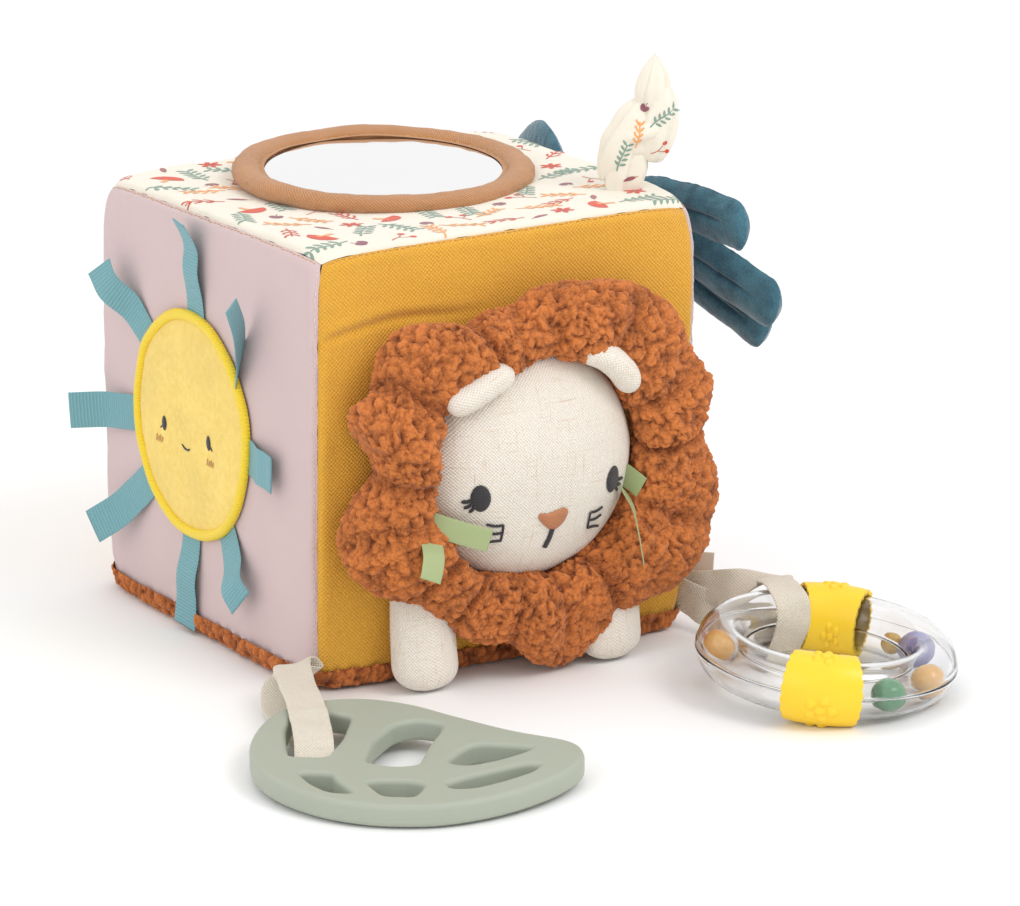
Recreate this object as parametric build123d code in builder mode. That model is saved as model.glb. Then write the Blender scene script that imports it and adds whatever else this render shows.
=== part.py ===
"""Soft activity cube for a baby, in millimetres.

Six fabric panels cover a foam block. A lion's head with a ruffled mane is sewn to the front, a sun
with ribbon rays to the left, a padded play mirror to the top and a palm tree to the right. A leaf
teether and a ring rattle hang on loops of tape at the two front bottom corners.

Origin: centre of the underside. Front is -Y, left is -X, up is +Z.
"""

import os
from math import cos, radians, sin

from build123d import *

# --- cube -------------------------------------------------------------------------------------
EDGE = 140.0  # over the fabric
HALF = EDGE / 2
CORNER_R = 13.5  # rounding of the stuffed edges
PANEL_T = 1.5  # fabric and its backing
SEAM_DEPTH = 40.0  # how far in the cutting wedge of a panel reaches, more than the rounding

# --- rattle insert in the foam ----------------------------------------------------------------
CAPSULE_R = 20.0
CAPSULE_WALL = 1.5
POCKET_R = CAPSULE_R + 0.4
POCKET_FLOOR = HALF - CAPSULE_R
PELLET_R = 3.0
PELLET_RING_R = 8.0
PELLET_COUNT = 6

# --- sun on the left face ---------------------------------------------------------------------
SUN_Y = 5.6
SUN_Z = 70.9
SUN_R = 38.0
SUN_BORDER_W = 3.0
SUN_DISC_T = 2.0
SUN_BORDER_T = 2.6
STITCH_T = 0.4  # height of embroidery over its cloth
RAY_W = 12.0
RIBBON_T = 0.8
RAY_GAP = 0.5  # from the border to the ribbon's hinge line
RAY_ROOT_H = 1.0  # ribbon's middle over the face, at its root

# name: direction in degrees from the front towards the top, reach from the sun's centre, lift
RAYS = {
    "top": (87, 66.5, 6.3),
    "back_upper": (142, 64.0, 9.2),
    "back": (187, 63.0, 13.5),
    "back_lower": (220, 68.0, 11.0),
    "bottom": (265, 68.5, 2.4),
    "front_lower": (305, 61.5, 6.8),
    "front": (354, 54.0, 3.4),
    "front_upper": (48, 66.0, 10.0),
}

# --- play mirror on top -----------------------------------------------------------------------
MIRROR_X = 3.5
MIRROR_Y = 15.0
MIRROR_R = 40.0
MIRROR_BACKING_T = 2.5
MIRROR_SHEET_T = 1.2
MIRROR_RING_R = 44.8  # centre line of the padded ring
MIRROR_TUBE_R = 4.5
MIRROR_COVER_T = 0.7

# --- lion on the front face -------------------------------------------------------------------
HEAD_X = 0.0
HEAD_Z = 69.0
HEAD_R = 38.0
HEAD_DEPTH = 28.0
HEAD_BASE_R = 34.0
HEAD_WIDEST = 8.0  # depth at which the head is widest
HEAD_CLOTH_T = 1.2
SQUEAKER_R = 14.0
SQUEAKER_T = 9.0
SQUEAKER_DEPTH = 7.0

MANE_Z = 65.0
MANE_RING_R = 50.0
MANE_TUBE_R = 12.0
MANE_LOBE_R = 14.0
MANE_LOBES = 13

EAR_X = 24.0
EAR_Z = 96.5
EAR_DEPTH = 22.0
EAR_LENGTH = 22.0
EAR_W = 8.0
EAR_T = 9.0
EAR_TILT = 43.0

NOSE_Z = 54.5
NOSE_W = 9.0
NOSE_H = 7.0
NOSE_PROUD = 1.4

PAW_X = (-36.0, 33.0)
PAW_W = 20.0
PAW_T = 14.0
PAW_TOP = 27.0
PAW_FLOOR = 0.4
PAW_OFF_FACE = 0.8
PAW_EDGE_R = 6.0
PAW_ROOM = 1.2  # room round a paw, at its sides and top, under the mane
PAW_SWING_ROOM = 6.4

CHEEK_W = 7.0

# --- palm on the right face -------------------------------------------------------------------
PALM_X = 74.0
PALM_Y = 12.0
PALM_Z = 131.0
TRUNK_BOTTOM = 14.0
TRUNK_TOP = 121.0
TRUNK_T = 2.0
PLUSH_T = 7.0
LEAF_ROOT = 17.0  # from the crown to the narrow end of a plush leaf
LEAF_ROOT_R = 1.8
CROWN_R = 10.0  # round top of the trunk's cloth, under the roots of the leaves

# name: side (-1 front, +1 back), angle off the face, fall below level, reach, half width at the tip
PLUSH_LEAVES = {
    "front_upper": (-1, 9.0, 0.5, 86.0, 8.8),
    "front_middle": (-1, 12.7, 14.6, 96.0, 9.4),
    "front_lower": (-1, 16.3, 28.5, 88.0, 8.6),
    "back_upper": (1, 12.0, -4.0, 66.0, 9.0),
    "back_lower": (1, 14.0, 16.0, 72.0, 9.0),
}

# --- knotted tag and care label ---------------------------------------------------------------
KNOT_BASE = (60.0, -44.0, EDGE + 1.0)
KNOT_LEAN = 15.0  # towards the front
LABEL_ROOT = (68.9, -62.9)
LABEL_DIR = (0.97, -0.243)
LABEL_W = 8.0
LABEL_H = 11.4
LABEL_T = 0.5
LABEL_Z = 20.3

# --- tape ---------------------------------------------------------------------------------------
TAPE_W = 11.5
TAPE_T = 0.8

# --- leaf teether -------------------------------------------------------------------------------
LEAF_X = -79.0
LEAF_Y = -151.0
LEAF_TURN = -31.6  # direction of the leaf's length
LEAF_T = 7.0
LEAF_RISE = 2.55  # tilt in degrees, cube side up
LEAF_HALF_WIDTH = 45.0
LEAF_EDGE_R = 2.4
LEAF_STRAP_U = -31.5  # where the tape crosses the rim, along the leaf's length

# --- ring rattle --------------------------------------------------------------------------------
RING_X = 71.5
RING_Y = -144.5
RING_Z = 12.1
RING_FAR_UP = 2.0  # tilt in degrees, cube side up
RING_RIGHT_UP = -4.8
RING_TURN = -30.3  # direction from which the ring's angles are counted
RING_R = 33.5
TUBE_A = 7.3  # half of the tube's radial width
TUBE_B = 9.0  # half of its height
TUBE_WALL = 1.3
SLEEVE_T = 1.5
SLEEVE_GAP = 0.3
SLEEVE_ARC = 30.0
SLEEVES = {"far": 82.5, "near": -96.0}
TAPE_ANGLE = 112.5
TAPE_LOOP_R = 10.4
BEAD_R = 5.4
BEAD_DROP = 1.8  # a bead rests this far under the tube's middle, where the tube narrows to it
SMALL_BEAD_R = 3.6
SMALL_BEAD_DROP = 3.8

# name: angle round the ring, radius, drop
BEADS = {
    "bead_orange_left": (174.0, BEAD_R, BEAD_DROP),
    "bead_purple": (27.0, BEAD_R, BEAD_DROP),
    "bead_yellow_small": (45.5, SMALL_BEAD_R, SMALL_BEAD_DROP),
    "bead_orange_right": (-23.0, BEAD_R, BEAD_DROP),
    "bead_green": (-59.0, BEAD_R, BEAD_DROP),
}

os.makedirs("parts", exist_ok=True)


def keep(builder, label):
    """Name a finished sub-part and write it."""
    builder.part.label = label
    export_step(builder.part, f"parts/{label}.step")


def strip(plane, points, width, thickness):
    """A flat ribbon whose edge follows a smooth line in a plane, centred on that plane."""
    with BuildPart() as ribbon:
        with BuildSketch(plane):
            with BuildLine():
                Spline(points)
            trace(line_width=thickness)
        extrude(amount=width / 2, both=True)
    return ribbon


# === cube =======================================================================================
with BuildPart() as core_block:
    with Locations((0, 0, HALF)):
        Box(EDGE - 2 * PANEL_T, EDGE - 2 * PANEL_T, EDGE - 2 * PANEL_T)
    fillet(core_block.edges(), CORNER_R - PANEL_T)

with BuildPart() as foam_core:
    add(core_block.part)
    with Locations((0, 0, POCKET_FLOOR)):
        Cylinder(POCKET_R, EDGE, align=(Align.CENTER, Align.CENTER, Align.MIN), mode=Mode.SUBTRACT)
keep(foam_core, "foam_core")

PLUG_BOTTOM = HALF + CAPSULE_R
with BuildPart() as foam_plug:
    with Locations((0, 0, PLUG_BOTTOM)):
        Cylinder(
            POCKET_R,
            EDGE - PANEL_T - PLUG_BOTTOM,
            align=(Align.CENTER, Align.CENTER, Align.MIN),
        )
keep(foam_plug, "foam_plug")

for label, side in (("rattle_capsule_lower", -1), ("rattle_capsule_upper", 1)):
    with BuildPart() as capsule_half:
        with Locations((0, 0, HALF)):
            Sphere(CAPSULE_R)
            Sphere(CAPSULE_R - CAPSULE_WALL, mode=Mode.SUBTRACT)
        with Locations((0, 0, HALF - side * CAPSULE_R)):
            Box(3 * CAPSULE_R, 3 * CAPSULE_R, 2 * CAPSULE_R, mode=Mode.SUBTRACT)
    keep(capsule_half, label)

PELLET_REACH = CAPSULE_R - CAPSULE_WALL - PELLET_R - 0.05
PELLET_Z = HALF - (PELLET_REACH**2 - PELLET_RING_R**2) ** 0.5
with BuildPart() as rattle_pellets:
    with Locations((0, 0, PELLET_Z)):
        with PolarLocations(PELLET_RING_R, PELLET_COUNT):
            Sphere(PELLET_R)
keep(rattle_pellets, "rattle_pellets")

FACES = {
    "panel_front": ((0, -1, 0), (1, 0, 0)),
    "panel_back": ((0, 1, 0), (1, 0, 0)),
    "panel_left": ((-1, 0, 0), (0, 1, 0)),
    "panel_right": ((1, 0, 0), (0, 1, 0)),
    "panel_top": ((0, 0, 1), (1, 0, 0)),
    "panel_bottom": ((0, 0, -1), (1, 0, 0)),
}
WEDGE_MARGIN = 5.0
for label, (normal, along) in FACES.items():
    centre = Vector(0, 0, HALF) + Vector(*normal) * HALF
    face_plane = Plane(origin=centre, x_dir=along, z_dir=normal)
    with BuildPart() as panel:
        with Locations((0, 0, HALF)):
            Box(EDGE, EDGE, EDGE)
        fillet(panel.edges(), CORNER_R)
        for depth in (-WEDGE_MARGIN, SEAM_DEPTH):
            with BuildSketch(face_plane.offset(-depth)):
                Rectangle(EDGE - 2 * depth, EDGE - 2 * depth)
        loft(mode=Mode.INTERSECT)
        add(core_block.part, mode=Mode.SUBTRACT)
    keep(panel, label)

# === sun ========================================================================================
sun_plane = Plane(origin=(-HALF, SUN_Y, SUN_Z), x_dir=(0, -1, 0), z_dir=(-1, 0, 0))

with BuildPart() as sun_disc:
    with BuildSketch(sun_plane):
        Circle(SUN_R - SUN_BORDER_W)
    extrude(amount=SUN_DISC_T)
keep(sun_disc, "sun_disc")

with BuildPart() as sun_border:
    with BuildSketch(sun_plane):
        Circle(SUN_R)
        Circle(SUN_R - SUN_BORDER_W, mode=Mode.SUBTRACT)
    extrude(amount=SUN_BORDER_T)
    fillet(sun_border.faces().sort_by(Axis.X)[0].edges(), 1.0)
keep(sun_border, "sun_border")

EYE_AT = (14.5, -2.8)
CHEEK_AT = (17.0, -8.5)
SMILE_Y = -7.0
with BuildPart() as sun_face_stitches:
    with BuildSketch(sun_plane.offset(SUN_DISC_T)):
        with Locations((-EYE_AT[0], EYE_AT[1]), (EYE_AT[0], EYE_AT[1])):
            Ellipse(1.1, 2.3)
        with Locations((-CHEEK_AT[0], CHEEK_AT[1]), (CHEEK_AT[0], CHEEK_AT[1])):
            Ellipse(2.2, 1.0)
        with BuildLine():
            ThreePointArc((-4.2, SMILE_Y), (0, SMILE_Y - 1.6), (4.2, SMILE_Y))
        trace(line_width=0.7)
    extrude(amount=STITCH_T)
keep(sun_face_stitches, "sun_face_stitches")

OUTWARD = Vector(-1, 0, 0)
for name, (angle, reach, lift) in RAYS.items():
    radial = Vector(0, -cos(radians(angle)), sin(radians(angle)))
    ray_plane = Plane(origin=sun_plane.origin, x_dir=radial, z_dir=radial.cross(OUTWARD))
    root = SUN_R + RAY_GAP
    middle = (root + reach) / 2
    ribbon = strip(
        ray_plane,
        [(root, RAY_ROOT_H), (middle, RAY_ROOT_H + 0.45 * (lift - RAY_ROOT_H)), (reach, lift)],
        RAY_W,
        RIBBON_T,
    )
    keep(ribbon, f"sun_ray_{name}")

# === mirror =====================================================================================
with BuildPart() as mirror_backing:
    with Locations((MIRROR_X, MIRROR_Y, EDGE)):
        Cylinder(MIRROR_R, MIRROR_BACKING_T, align=(Align.CENTER, Align.CENTER, Align.MIN))
keep(mirror_backing, "mirror_backing")

with BuildPart() as mirror_sheet:
    with Locations((MIRROR_X, MIRROR_Y, EDGE + MIRROR_BACKING_T)):
        Cylinder(MIRROR_R, MIRROR_SHEET_T, align=(Align.CENTER, Align.CENTER, Align.MIN))
    chamfer(mirror_sheet.edges().group_by(Axis.Z)[-1], 0.3)
keep(mirror_sheet, "mirror_sheet")

with BuildPart() as mirror_ring_filler:
    with Locations((MIRROR_X, MIRROR_Y, EDGE + MIRROR_TUBE_R)):
        Torus(MIRROR_RING_R, MIRROR_TUBE_R - MIRROR_COVER_T)
keep(mirror_ring_filler, "mirror_ring_filler")

with BuildPart() as mirror_ring_cover:
    with Locations((MIRROR_X, MIRROR_Y, EDGE + MIRROR_TUBE_R)):
        Torus(MIRROR_RING_R, MIRROR_TUBE_R)
        Torus(MIRROR_RING_R, MIRROR_TUBE_R - MIRROR_COVER_T, mode=Mode.SUBTRACT)
keep(mirror_ring_cover, "mirror_ring_cover")

# === lion =======================================================================================
head_plane = Plane(origin=(HEAD_X, -HALF, HEAD_Z), x_dir=(1, 0, 0), z_dir=(0, 0, -1))
head_axis = Axis(origin=(HEAD_X, -HALF, HEAD_Z), direction=(0, -1, 0))


def head_dome(inset):
    """The stuffed head as a round dome on the front face, smaller all round by inset."""
    base = HEAD_BASE_R - inset
    widest = HEAD_R - inset
    crown = HEAD_DEPTH - inset
    with BuildPart() as dome:
        with BuildSketch(head_plane):
            with BuildLine():
                Line((0, 0), (base, 0))
                ThreePointArc((base, 0), (widest - 0.9, HEAD_WIDEST * 0.45), (widest, HEAD_WIDEST))
                Spline(
                    [
                        (widest * cos(radians(a)), HEAD_WIDEST + (crown - HEAD_WIDEST) * sin(radians(a)))
                        for a in (0, 25, 50, 70, 90)
                    ],
                    tangents=[(0, 1), (-1, 0)],
                )
                Line((0, crown), (0, 0))
            make_face()
        revolve(axis=head_axis)
    return dome


head_outer = head_dome(0)
head_inner = head_dome(HEAD_CLOTH_T)

with BuildPart() as lion_head:
    add(head_outer.part)
    add(head_inner.part, mode=Mode.SUBTRACT)
keep(lion_head, "lion_head")

squeaker_plane = Plane(origin=(HEAD_X, -HALF - SQUEAKER_DEPTH, HEAD_Z), z_dir=(0, -1, 0))
with BuildPart() as squeaker:
    with BuildSketch(squeaker_plane):
        Circle(SQUEAKER_R)
    extrude(amount=SQUEAKER_T)
    fillet(squeaker.edges(), 1.5)
keep(squeaker, "squeaker")

with BuildPart() as head_filling:
    add(head_inner.part)
    add(squeaker.part, mode=Mode.SUBTRACT)
keep(head_filling, "head_filling")

ears = {}
for label, side in (("lion_ear_left", -1), ("lion_ear_right", 1)):
    ear_plane = Plane(
        origin=(HEAD_X + side * EAR_X, -HALF - EAR_DEPTH, EAR_Z), x_dir=(1, 0, 0), z_dir=(0, -1, 0)
    )
    with BuildPart() as ear:
        with BuildSketch(ear_plane):
            SlotOverall(EAR_LENGTH, EAR_W, rotation=-side * EAR_TILT)
        extrude(amount=EAR_T / 2, both=True)
        fillet(ear.edges(), 2.5)
        add(head_outer.part, mode=Mode.SUBTRACT)
    keep(ear, label)
    ears[label] = ear.part

mane_plane = Plane(origin=(HEAD_X, -HALF - MANE_LOBE_R, MANE_Z), z_dir=(0, -1, 0))
with BuildPart() as lion_mane:
    with Locations(mane_plane):
        Torus(MANE_RING_R, MANE_TUBE_R)
        with PolarLocations(MANE_RING_R, MANE_LOBES, start_angle=90):
            Sphere(MANE_LOBE_R)
    add(head_outer.part, mode=Mode.SUBTRACT)
    for ear_part in ears.values():
        add(ear_part, mode=Mode.SUBTRACT)
    for paw_x in PAW_X:
        with Locations((paw_x, -HALF, PAW_TOP + PAW_ROOM)):
            Box(
                PAW_W + 2 * PAW_ROOM,
                2 * (PAW_OFF_FACE + PAW_T + PAW_SWING_ROOM),
                2 * PAW_TOP,
                align=(Align.CENTER, Align.CENTER, Align.MAX),
                mode=Mode.SUBTRACT,
            )
keep(lion_mane, "lion_mane")

nose_plane = Plane(origin=(HEAD_X, -HALF - HEAD_WIDEST, NOSE_Z), x_dir=(1, 0, 0), z_dir=(0, -1, 0))
with BuildPart() as lion_nose:
    with BuildSketch(nose_plane) as nose_outline:
        with BuildLine():
            Polyline(
                (-NOSE_W / 2, NOSE_H / 2), (NOSE_W / 2, NOSE_H / 2), (0, -NOSE_H / 2), close=True
            )
        make_face()
        fillet(nose_outline.vertices(), 1.4)
    extrude(amount=HEAD_DEPTH)
    add(head_dome(-NOSE_PROUD).part, mode=Mode.INTERSECT)
    add(head_outer.part, mode=Mode.SUBTRACT)
keep(lion_nose, "lion_nose")

LION_EYE = (24.6, 63.0)
MOUTH = (50.4, 44.4)
WHISKER_X = (15.5, 21.0)
WHISKER_Z = (47.5, 50.2, 52.9)
stitch_plane = Plane(origin=(HEAD_X, -HALF - HEAD_WIDEST, 0), x_dir=(1, 0, 0), z_dir=(0, -1, 0))
with BuildPart() as lion_face_stitches:
    with BuildSketch(stitch_plane):
        with Locations((-LION_EYE[0], LION_EYE[1]), (LION_EYE[0], LION_EYE[1])):
            Ellipse(3.5, 4.2)
        with Locations((0, sum(MOUTH) / 2)):
            Rectangle(1.2, MOUTH[0] - MOUTH[1])
        for side in (-1, 1):
            for whisker_z in WHISKER_Z:
                with Locations((side * sum(WHISKER_X) / 2, whisker_z)):
                    Rectangle(WHISKER_X[1] - WHISKER_X[0], 0.8)
            with Locations((side * WHISKER_X[0], WHISKER_Z[1])):
                Rectangle(0.8, WHISKER_Z[2] - WHISKER_Z[0] + 0.8)
    extrude(amount=HEAD_DEPTH)
    add(head_dome(-STITCH_T).part, mode=Mode.INTERSECT)
    add(head_outer.part, mode=Mode.SUBTRACT)
keep(lion_face_stitches, "lion_face_stitches")

for label, paw_x in zip(("lion_paw_left", "lion_paw_right"), PAW_X):
    with BuildPart() as paw:
        with Locations((paw_x, -HALF - PAW_OFF_FACE, PAW_FLOOR)):
            Box(
                PAW_W,
                PAW_T,
                PAW_TOP - PAW_FLOOR,
                align=(Align.CENTER, Align.MAX, Align.MIN),
            )
        fillet(paw.edges(), PAW_EDGE_R)
    keep(paw, label)

# Each cheek ribbon: middle of its root and of its tip, and the direction of its width.
CHEEK_RIBBONS = {
    "cheek_ribbon_left_upper": ((-34.4, -91.0, 57.0), (-20.5, -97.2, 50.5), (0.35, 0, 1)),
    "cheek_ribbon_left_lower": ((-38.5, -96.4, 50.0), (-42.0, -100.4, 38.0), (1, 0, -0.2)),
    "cheek_ribbon_right_upper": ((36.0, -92.0, 64.5), (41.5, -98.9, 57.0), (0.4, 0, 1)),
    "cheek_ribbon_right_lower": ((37.5, -98.6, 53.0), (41.0, -102.6, 32.0), (0.35, -0.94, 0)),
}
for label, (root, tip, across) in CHEEK_RIBBONS.items():
    run = (Vector(*tip) - Vector(*root)).normalized()
    flat = Vector(*across).cross(run).normalized()
    with BuildPart() as cheek_ribbon:
        with BuildSketch(Plane(origin=root, x_dir=run, z_dir=flat)):
            Rectangle(
                (Vector(*tip) - Vector(*root)).length, CHEEK_W, align=(Align.MIN, Align.CENTER)
            )
        extrude(amount=RIBBON_T / 4, both=True)
    keep(cheek_ribbon, label)

# === palm =======================================================================================
trunk_plane = Plane(origin=(HALF, PALM_Y, 0), x_dir=(0, 1, 0), z_dir=(1, 0, 0))
with BuildPart() as palm_trunk:
    with BuildSketch(trunk_plane):
        with BuildLine():
            Polyline(
                (-9, TRUNK_BOTTOM), (9, TRUNK_BOTTOM), (5, TRUNK_TOP), (-5, TRUNK_TOP), close=True
            )
        make_face()
        with Locations((0, TRUNK_TOP)):
            Circle(CROWN_R)
    extrude(amount=TRUNK_T)
    fillet(palm_trunk.edges().filter_by(Axis.X).group_by(Axis.Z)[0], 3.0)
keep(palm_trunk, "palm_trunk")

for name, (side, off_face, fall, reach, tip_r) in PLUSH_LEAVES.items():
    level = Vector(sin(radians(off_face)), side * cos(radians(off_face)), 0)
    length_dir = level * cos(radians(fall)) + Vector(0, 0, -sin(radians(fall)))
    leaf_plane = Plane(
        origin=(PALM_X, PALM_Y, PALM_Z), x_dir=length_dir, z_dir=level.cross(Vector(0, 0, 1))
    )
    with BuildPart() as plush_leaf:
        with BuildSketch(leaf_plane):
            with Locations((LEAF_ROOT, 0)):
                Circle(LEAF_ROOT_R)
            with Locations((reach - tip_r, 0)):
                Circle(tip_r)
            make_hull()
        extrude(amount=PLUSH_T / 2, both=True)
        fillet(plush_leaf.edges().filter_by(GeomType.CIRCLE).group_by(SortBy.RADIUS)[-1], 2.5)
    keep(plush_leaf, f"palm_leaf_{name}")

# === knotted tag and care label =================================================================
knot_plane = Plane(
    origin=KNOT_BASE,
    x_dir=(1, 0, 0),
    z_dir=(0, -cos(radians(KNOT_LEAN)), -sin(radians(KNOT_LEAN))),
)
KNOT_OUTLINE = [(2.2, 0.6), (6.8, 5), (8.4, 11), (9.4, 19), (7.0, 29), (5.2, 34), (4.8, 40), (2, 45)]
with BuildPart() as knot_tag:
    with BuildSketch(knot_plane):
        with BuildLine():
            Spline(KNOT_OUTLINE)
            Polyline(KNOT_OUTLINE[-1], (0, 45), (0, 0.6), KNOT_OUTLINE[0])
        make_face()
    revolve(axis=Axis(origin=KNOT_BASE, direction=knot_plane.y_dir))
keep(knot_tag, "knot_tag")

label_plane = Plane(
    origin=(*LABEL_ROOT, LABEL_Z), x_dir=(*LABEL_DIR, 0), z_dir=(-LABEL_DIR[1], LABEL_DIR[0], 0)
)
with BuildPart() as care_label:
    with BuildSketch(label_plane):
        Rectangle(LABEL_W, LABEL_H, align=(Align.MIN, Align.CENTER))
    extrude(amount=LABEL_T / 2, both=True)
keep(care_label, "care_label")

# === leaf teether ===============================================================================
leaf_u = Vector(cos(radians(LEAF_TURN)), sin(radians(LEAF_TURN)), 0)
leaf_level_v = Vector(0, 0, 1).cross(leaf_u)
leaf_v = leaf_level_v * cos(radians(LEAF_RISE)) + Vector(0, 0, sin(radians(LEAF_RISE)))
LEAF_UNDER_Z = LEAF_HALF_WIDTH * sin(radians(LEAF_RISE)) + 0.3
under_plane = Plane(origin=(LEAF_X, LEAF_Y, LEAF_UNDER_Z), x_dir=leaf_u, z_dir=leaf_u.cross(leaf_v))

LEAF_OUTLINE = [
    (49.5, -5), (43.5, 6.5), (33, 16.5), (18, 27), (0, 36.5), (-18, 41), (-33.5, 38), (-43.5, 28.5),
    (-48.2, 14), (-49, -1), (-46, -15), (-38.5, -27.5), (-26, -38), (-12, -43.5), (2, -44.5),
    (14, -42), (28, -34.5), (39.5, -24), (46.5, -13.5),
]  # fmt: skip
LEAF_HOLES = {
    "strap": [(-38.6, 27.5), (-19.5, 26), (-22, 8), (-25.2, -7.5), (-37.8, -7)],
    "upper_middle": [(-15, -8), (-12.5, 8), (-6, 20), (3.5, 24), (8.5, 18), (3, 3), (-4, -11)],
    "upper_tip": [(6, -8.5), (13, 8), (21, 7), (33.5, 0.5), (22, -4.5), (12, -9)],
    "lower_base": [(-35, -17), (-25, -17), (-20, -23), (-16, -31), (-24, -32.5), (-31, -26)],
    "lower_middle": [(-14.5, -22), (0, -23), (8, -25.5), (3, -32.5), (-2, -38), (-10, -36)],
    "lower_tip": [(12, -18.5), (24, -15), (35, -12.5), (28, -21), (15, -29)],
}
with BuildPart() as leaf_teether:
    with BuildSketch(under_plane):
        with BuildLine():
            Spline(LEAF_OUTLINE, periodic=True)
        make_face()
    extrude(amount=LEAF_T)
    fillet(leaf_teether.edges(), LEAF_EDGE_R)
    for outline in LEAF_HOLES.values():
        with BuildSketch(under_plane) as hole:
            with BuildLine():
                Polyline(outline, close=True)
            make_face()
            fillet(hole.vertices(), 1.8)
        extrude(amount=LEAF_T, mode=Mode.SUBTRACT)
keep(leaf_teether, "leaf_teether")

# The tape loop lies in an upright plane across the rim. Its line runs over the rim, down through
# the hole and back under it.
strap_origin = Vector(LEAF_X, LEAF_Y, 0) + leaf_u * LEAF_STRAP_U
teether_strap_plane = Plane(
    origin=strap_origin, x_dir=leaf_level_v, z_dir=leaf_level_v.cross(Vector(0, 0, 1))
)
STRAP_ROOT_V = 75.0
STRAP_UPPER = [(STRAP_ROOT_V, 9.2), (62, 12.2), (46, 12.9), (28, 12.4), (8, 11.6)]
STRAP_TURN = [(8, 11.6), (1.2, 6.3), (8, 1.0)]
STRAP_LOWER = [(8, 1.0), (30, 1.0), (50, 1.6), (64, 4.6), (STRAP_ROOT_V, 7.8)]
with BuildPart() as teether_strap:
    with BuildSketch(teether_strap_plane):
        with BuildLine():
            Spline(STRAP_UPPER)
            ThreePointArc(*STRAP_TURN)
            Spline(STRAP_LOWER)
            Line((STRAP_ROOT_V, 7.8), (STRAP_ROOT_V, 9.2))
        trace(line_width=TAPE_T)
    extrude(amount=TAPE_W / 2, both=True)
keep(teether_strap, "teether_strap")

# === ring rattle ================================================================================
level_x = Vector(cos(radians(RING_TURN)), sin(radians(RING_TURN)), 0)
level_y = Vector(0, 0, 1).cross(level_x)
ring_normal = (
    Vector(0, 0, 1)
    - level_y * (sin(radians(RING_FAR_UP)) / cos(radians(RING_FAR_UP)))
    - level_x * (sin(radians(RING_RIGHT_UP)) / cos(radians(RING_RIGHT_UP)))
).normalized()
ring_centre = Vector(RING_X, RING_Y, RING_Z)
ring_x = (level_x - ring_normal * level_x.dot(ring_normal)).normalized()
ring_y = ring_normal.cross(ring_x)
ring_axis = Axis(origin=ring_centre, direction=ring_normal)


def ring_direction(angle):
    """Outward direction in the ring's plane, at an angle counted from the ring's right side."""
    return ring_x * cos(radians(angle)) + ring_y * sin(radians(angle))


def tube_section(angle):
    """Plane that cuts the tube square across at an angle: x outward, y along the ring's axis."""
    outward = ring_direction(angle)
    return Plane(
        origin=ring_centre + outward * RING_R, x_dir=outward, z_dir=outward.cross(ring_normal)
    )


for label, side in (("ring_shell_upper", 1), ("ring_shell_lower", -1)):
    with BuildPart() as ring_shell:
        with BuildSketch(tube_section(0)):
            Ellipse(TUBE_A, TUBE_B)
            Ellipse(TUBE_A - TUBE_WALL, TUBE_B - TUBE_WALL, mode=Mode.SUBTRACT)
            with Locations((0, -side * TUBE_B)):
                Rectangle(4 * TUBE_A, 2 * TUBE_B, mode=Mode.SUBTRACT)
        revolve(axis=ring_axis)
    keep(ring_shell, label)

for name, angle in SLEEVES.items():
    with BuildPart() as sleeve:
        with BuildSketch(tube_section(angle - SLEEVE_ARC / 2)):
            Ellipse(TUBE_A + SLEEVE_GAP + SLEEVE_T, TUBE_B + SLEEVE_GAP + SLEEVE_T)
            Ellipse(TUBE_A + SLEEVE_GAP, TUBE_B + SLEEVE_GAP, mode=Mode.SUBTRACT)
        revolve(axis=ring_axis, revolution_arc=SLEEVE_ARC)
    keep(sleeve, f"ring_sleeve_{name}")

for label, (angle, radius, drop) in BEADS.items():
    centre = ring_centre + ring_direction(angle) * RING_R - ring_normal * drop
    with BuildPart() as bead:
        with Locations(centre):
            Sphere(radius)
    keep(bead, label)

# The tape's loop goes square round the tube, and its doubled tail runs level to the cube's corner.
loop_centre = ring_centre + ring_direction(TAPE_ANGLE) * RING_R
loop_plane = tube_section(TAPE_ANGLE)
tail_start = loop_centre + ring_direction(TAPE_ANGLE) * TAPE_LOOP_R
CORNER_REACH = (HALF - CORNER_R) + CORNER_R * cos(radians(45))
tail_end = Vector(CORNER_REACH + 2.0, -CORNER_REACH - 2.0, tail_start.Z)
tail_dir = (tail_end - tail_start).normalized()
with BuildPart() as rattle_strap:
    with BuildSketch(loop_plane):
        Circle(TAPE_LOOP_R + TAPE_T)
        Circle(TAPE_LOOP_R, mode=Mode.SUBTRACT)
    extrude(amount=TAPE_W / 2, both=True)
    with BuildSketch(Plane(origin=tail_start, x_dir=tail_dir, z_dir=(0, 0, 1))):
        Rectangle((tail_end - tail_start).length, TAPE_W, align=(Align.MIN, Align.CENTER))
    extrude(amount=TAPE_T, both=True)
    with BuildSketch(loop_plane):
        Circle(TAPE_LOOP_R)
    extrude(amount=TAPE_W, both=True, mode=Mode.SUBTRACT)
keep(rattle_strap, "rattle_strap")
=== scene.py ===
"""Looks of the soft activity cube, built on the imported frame.

Lengths in this file are in millimetres, in the frame's axes, and become metres as a mesh is made.
"""

import math
from itertools import product

import bpy
import numpy as np
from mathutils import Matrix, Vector
from mathutils.bvhtree import BVHTree


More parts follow.
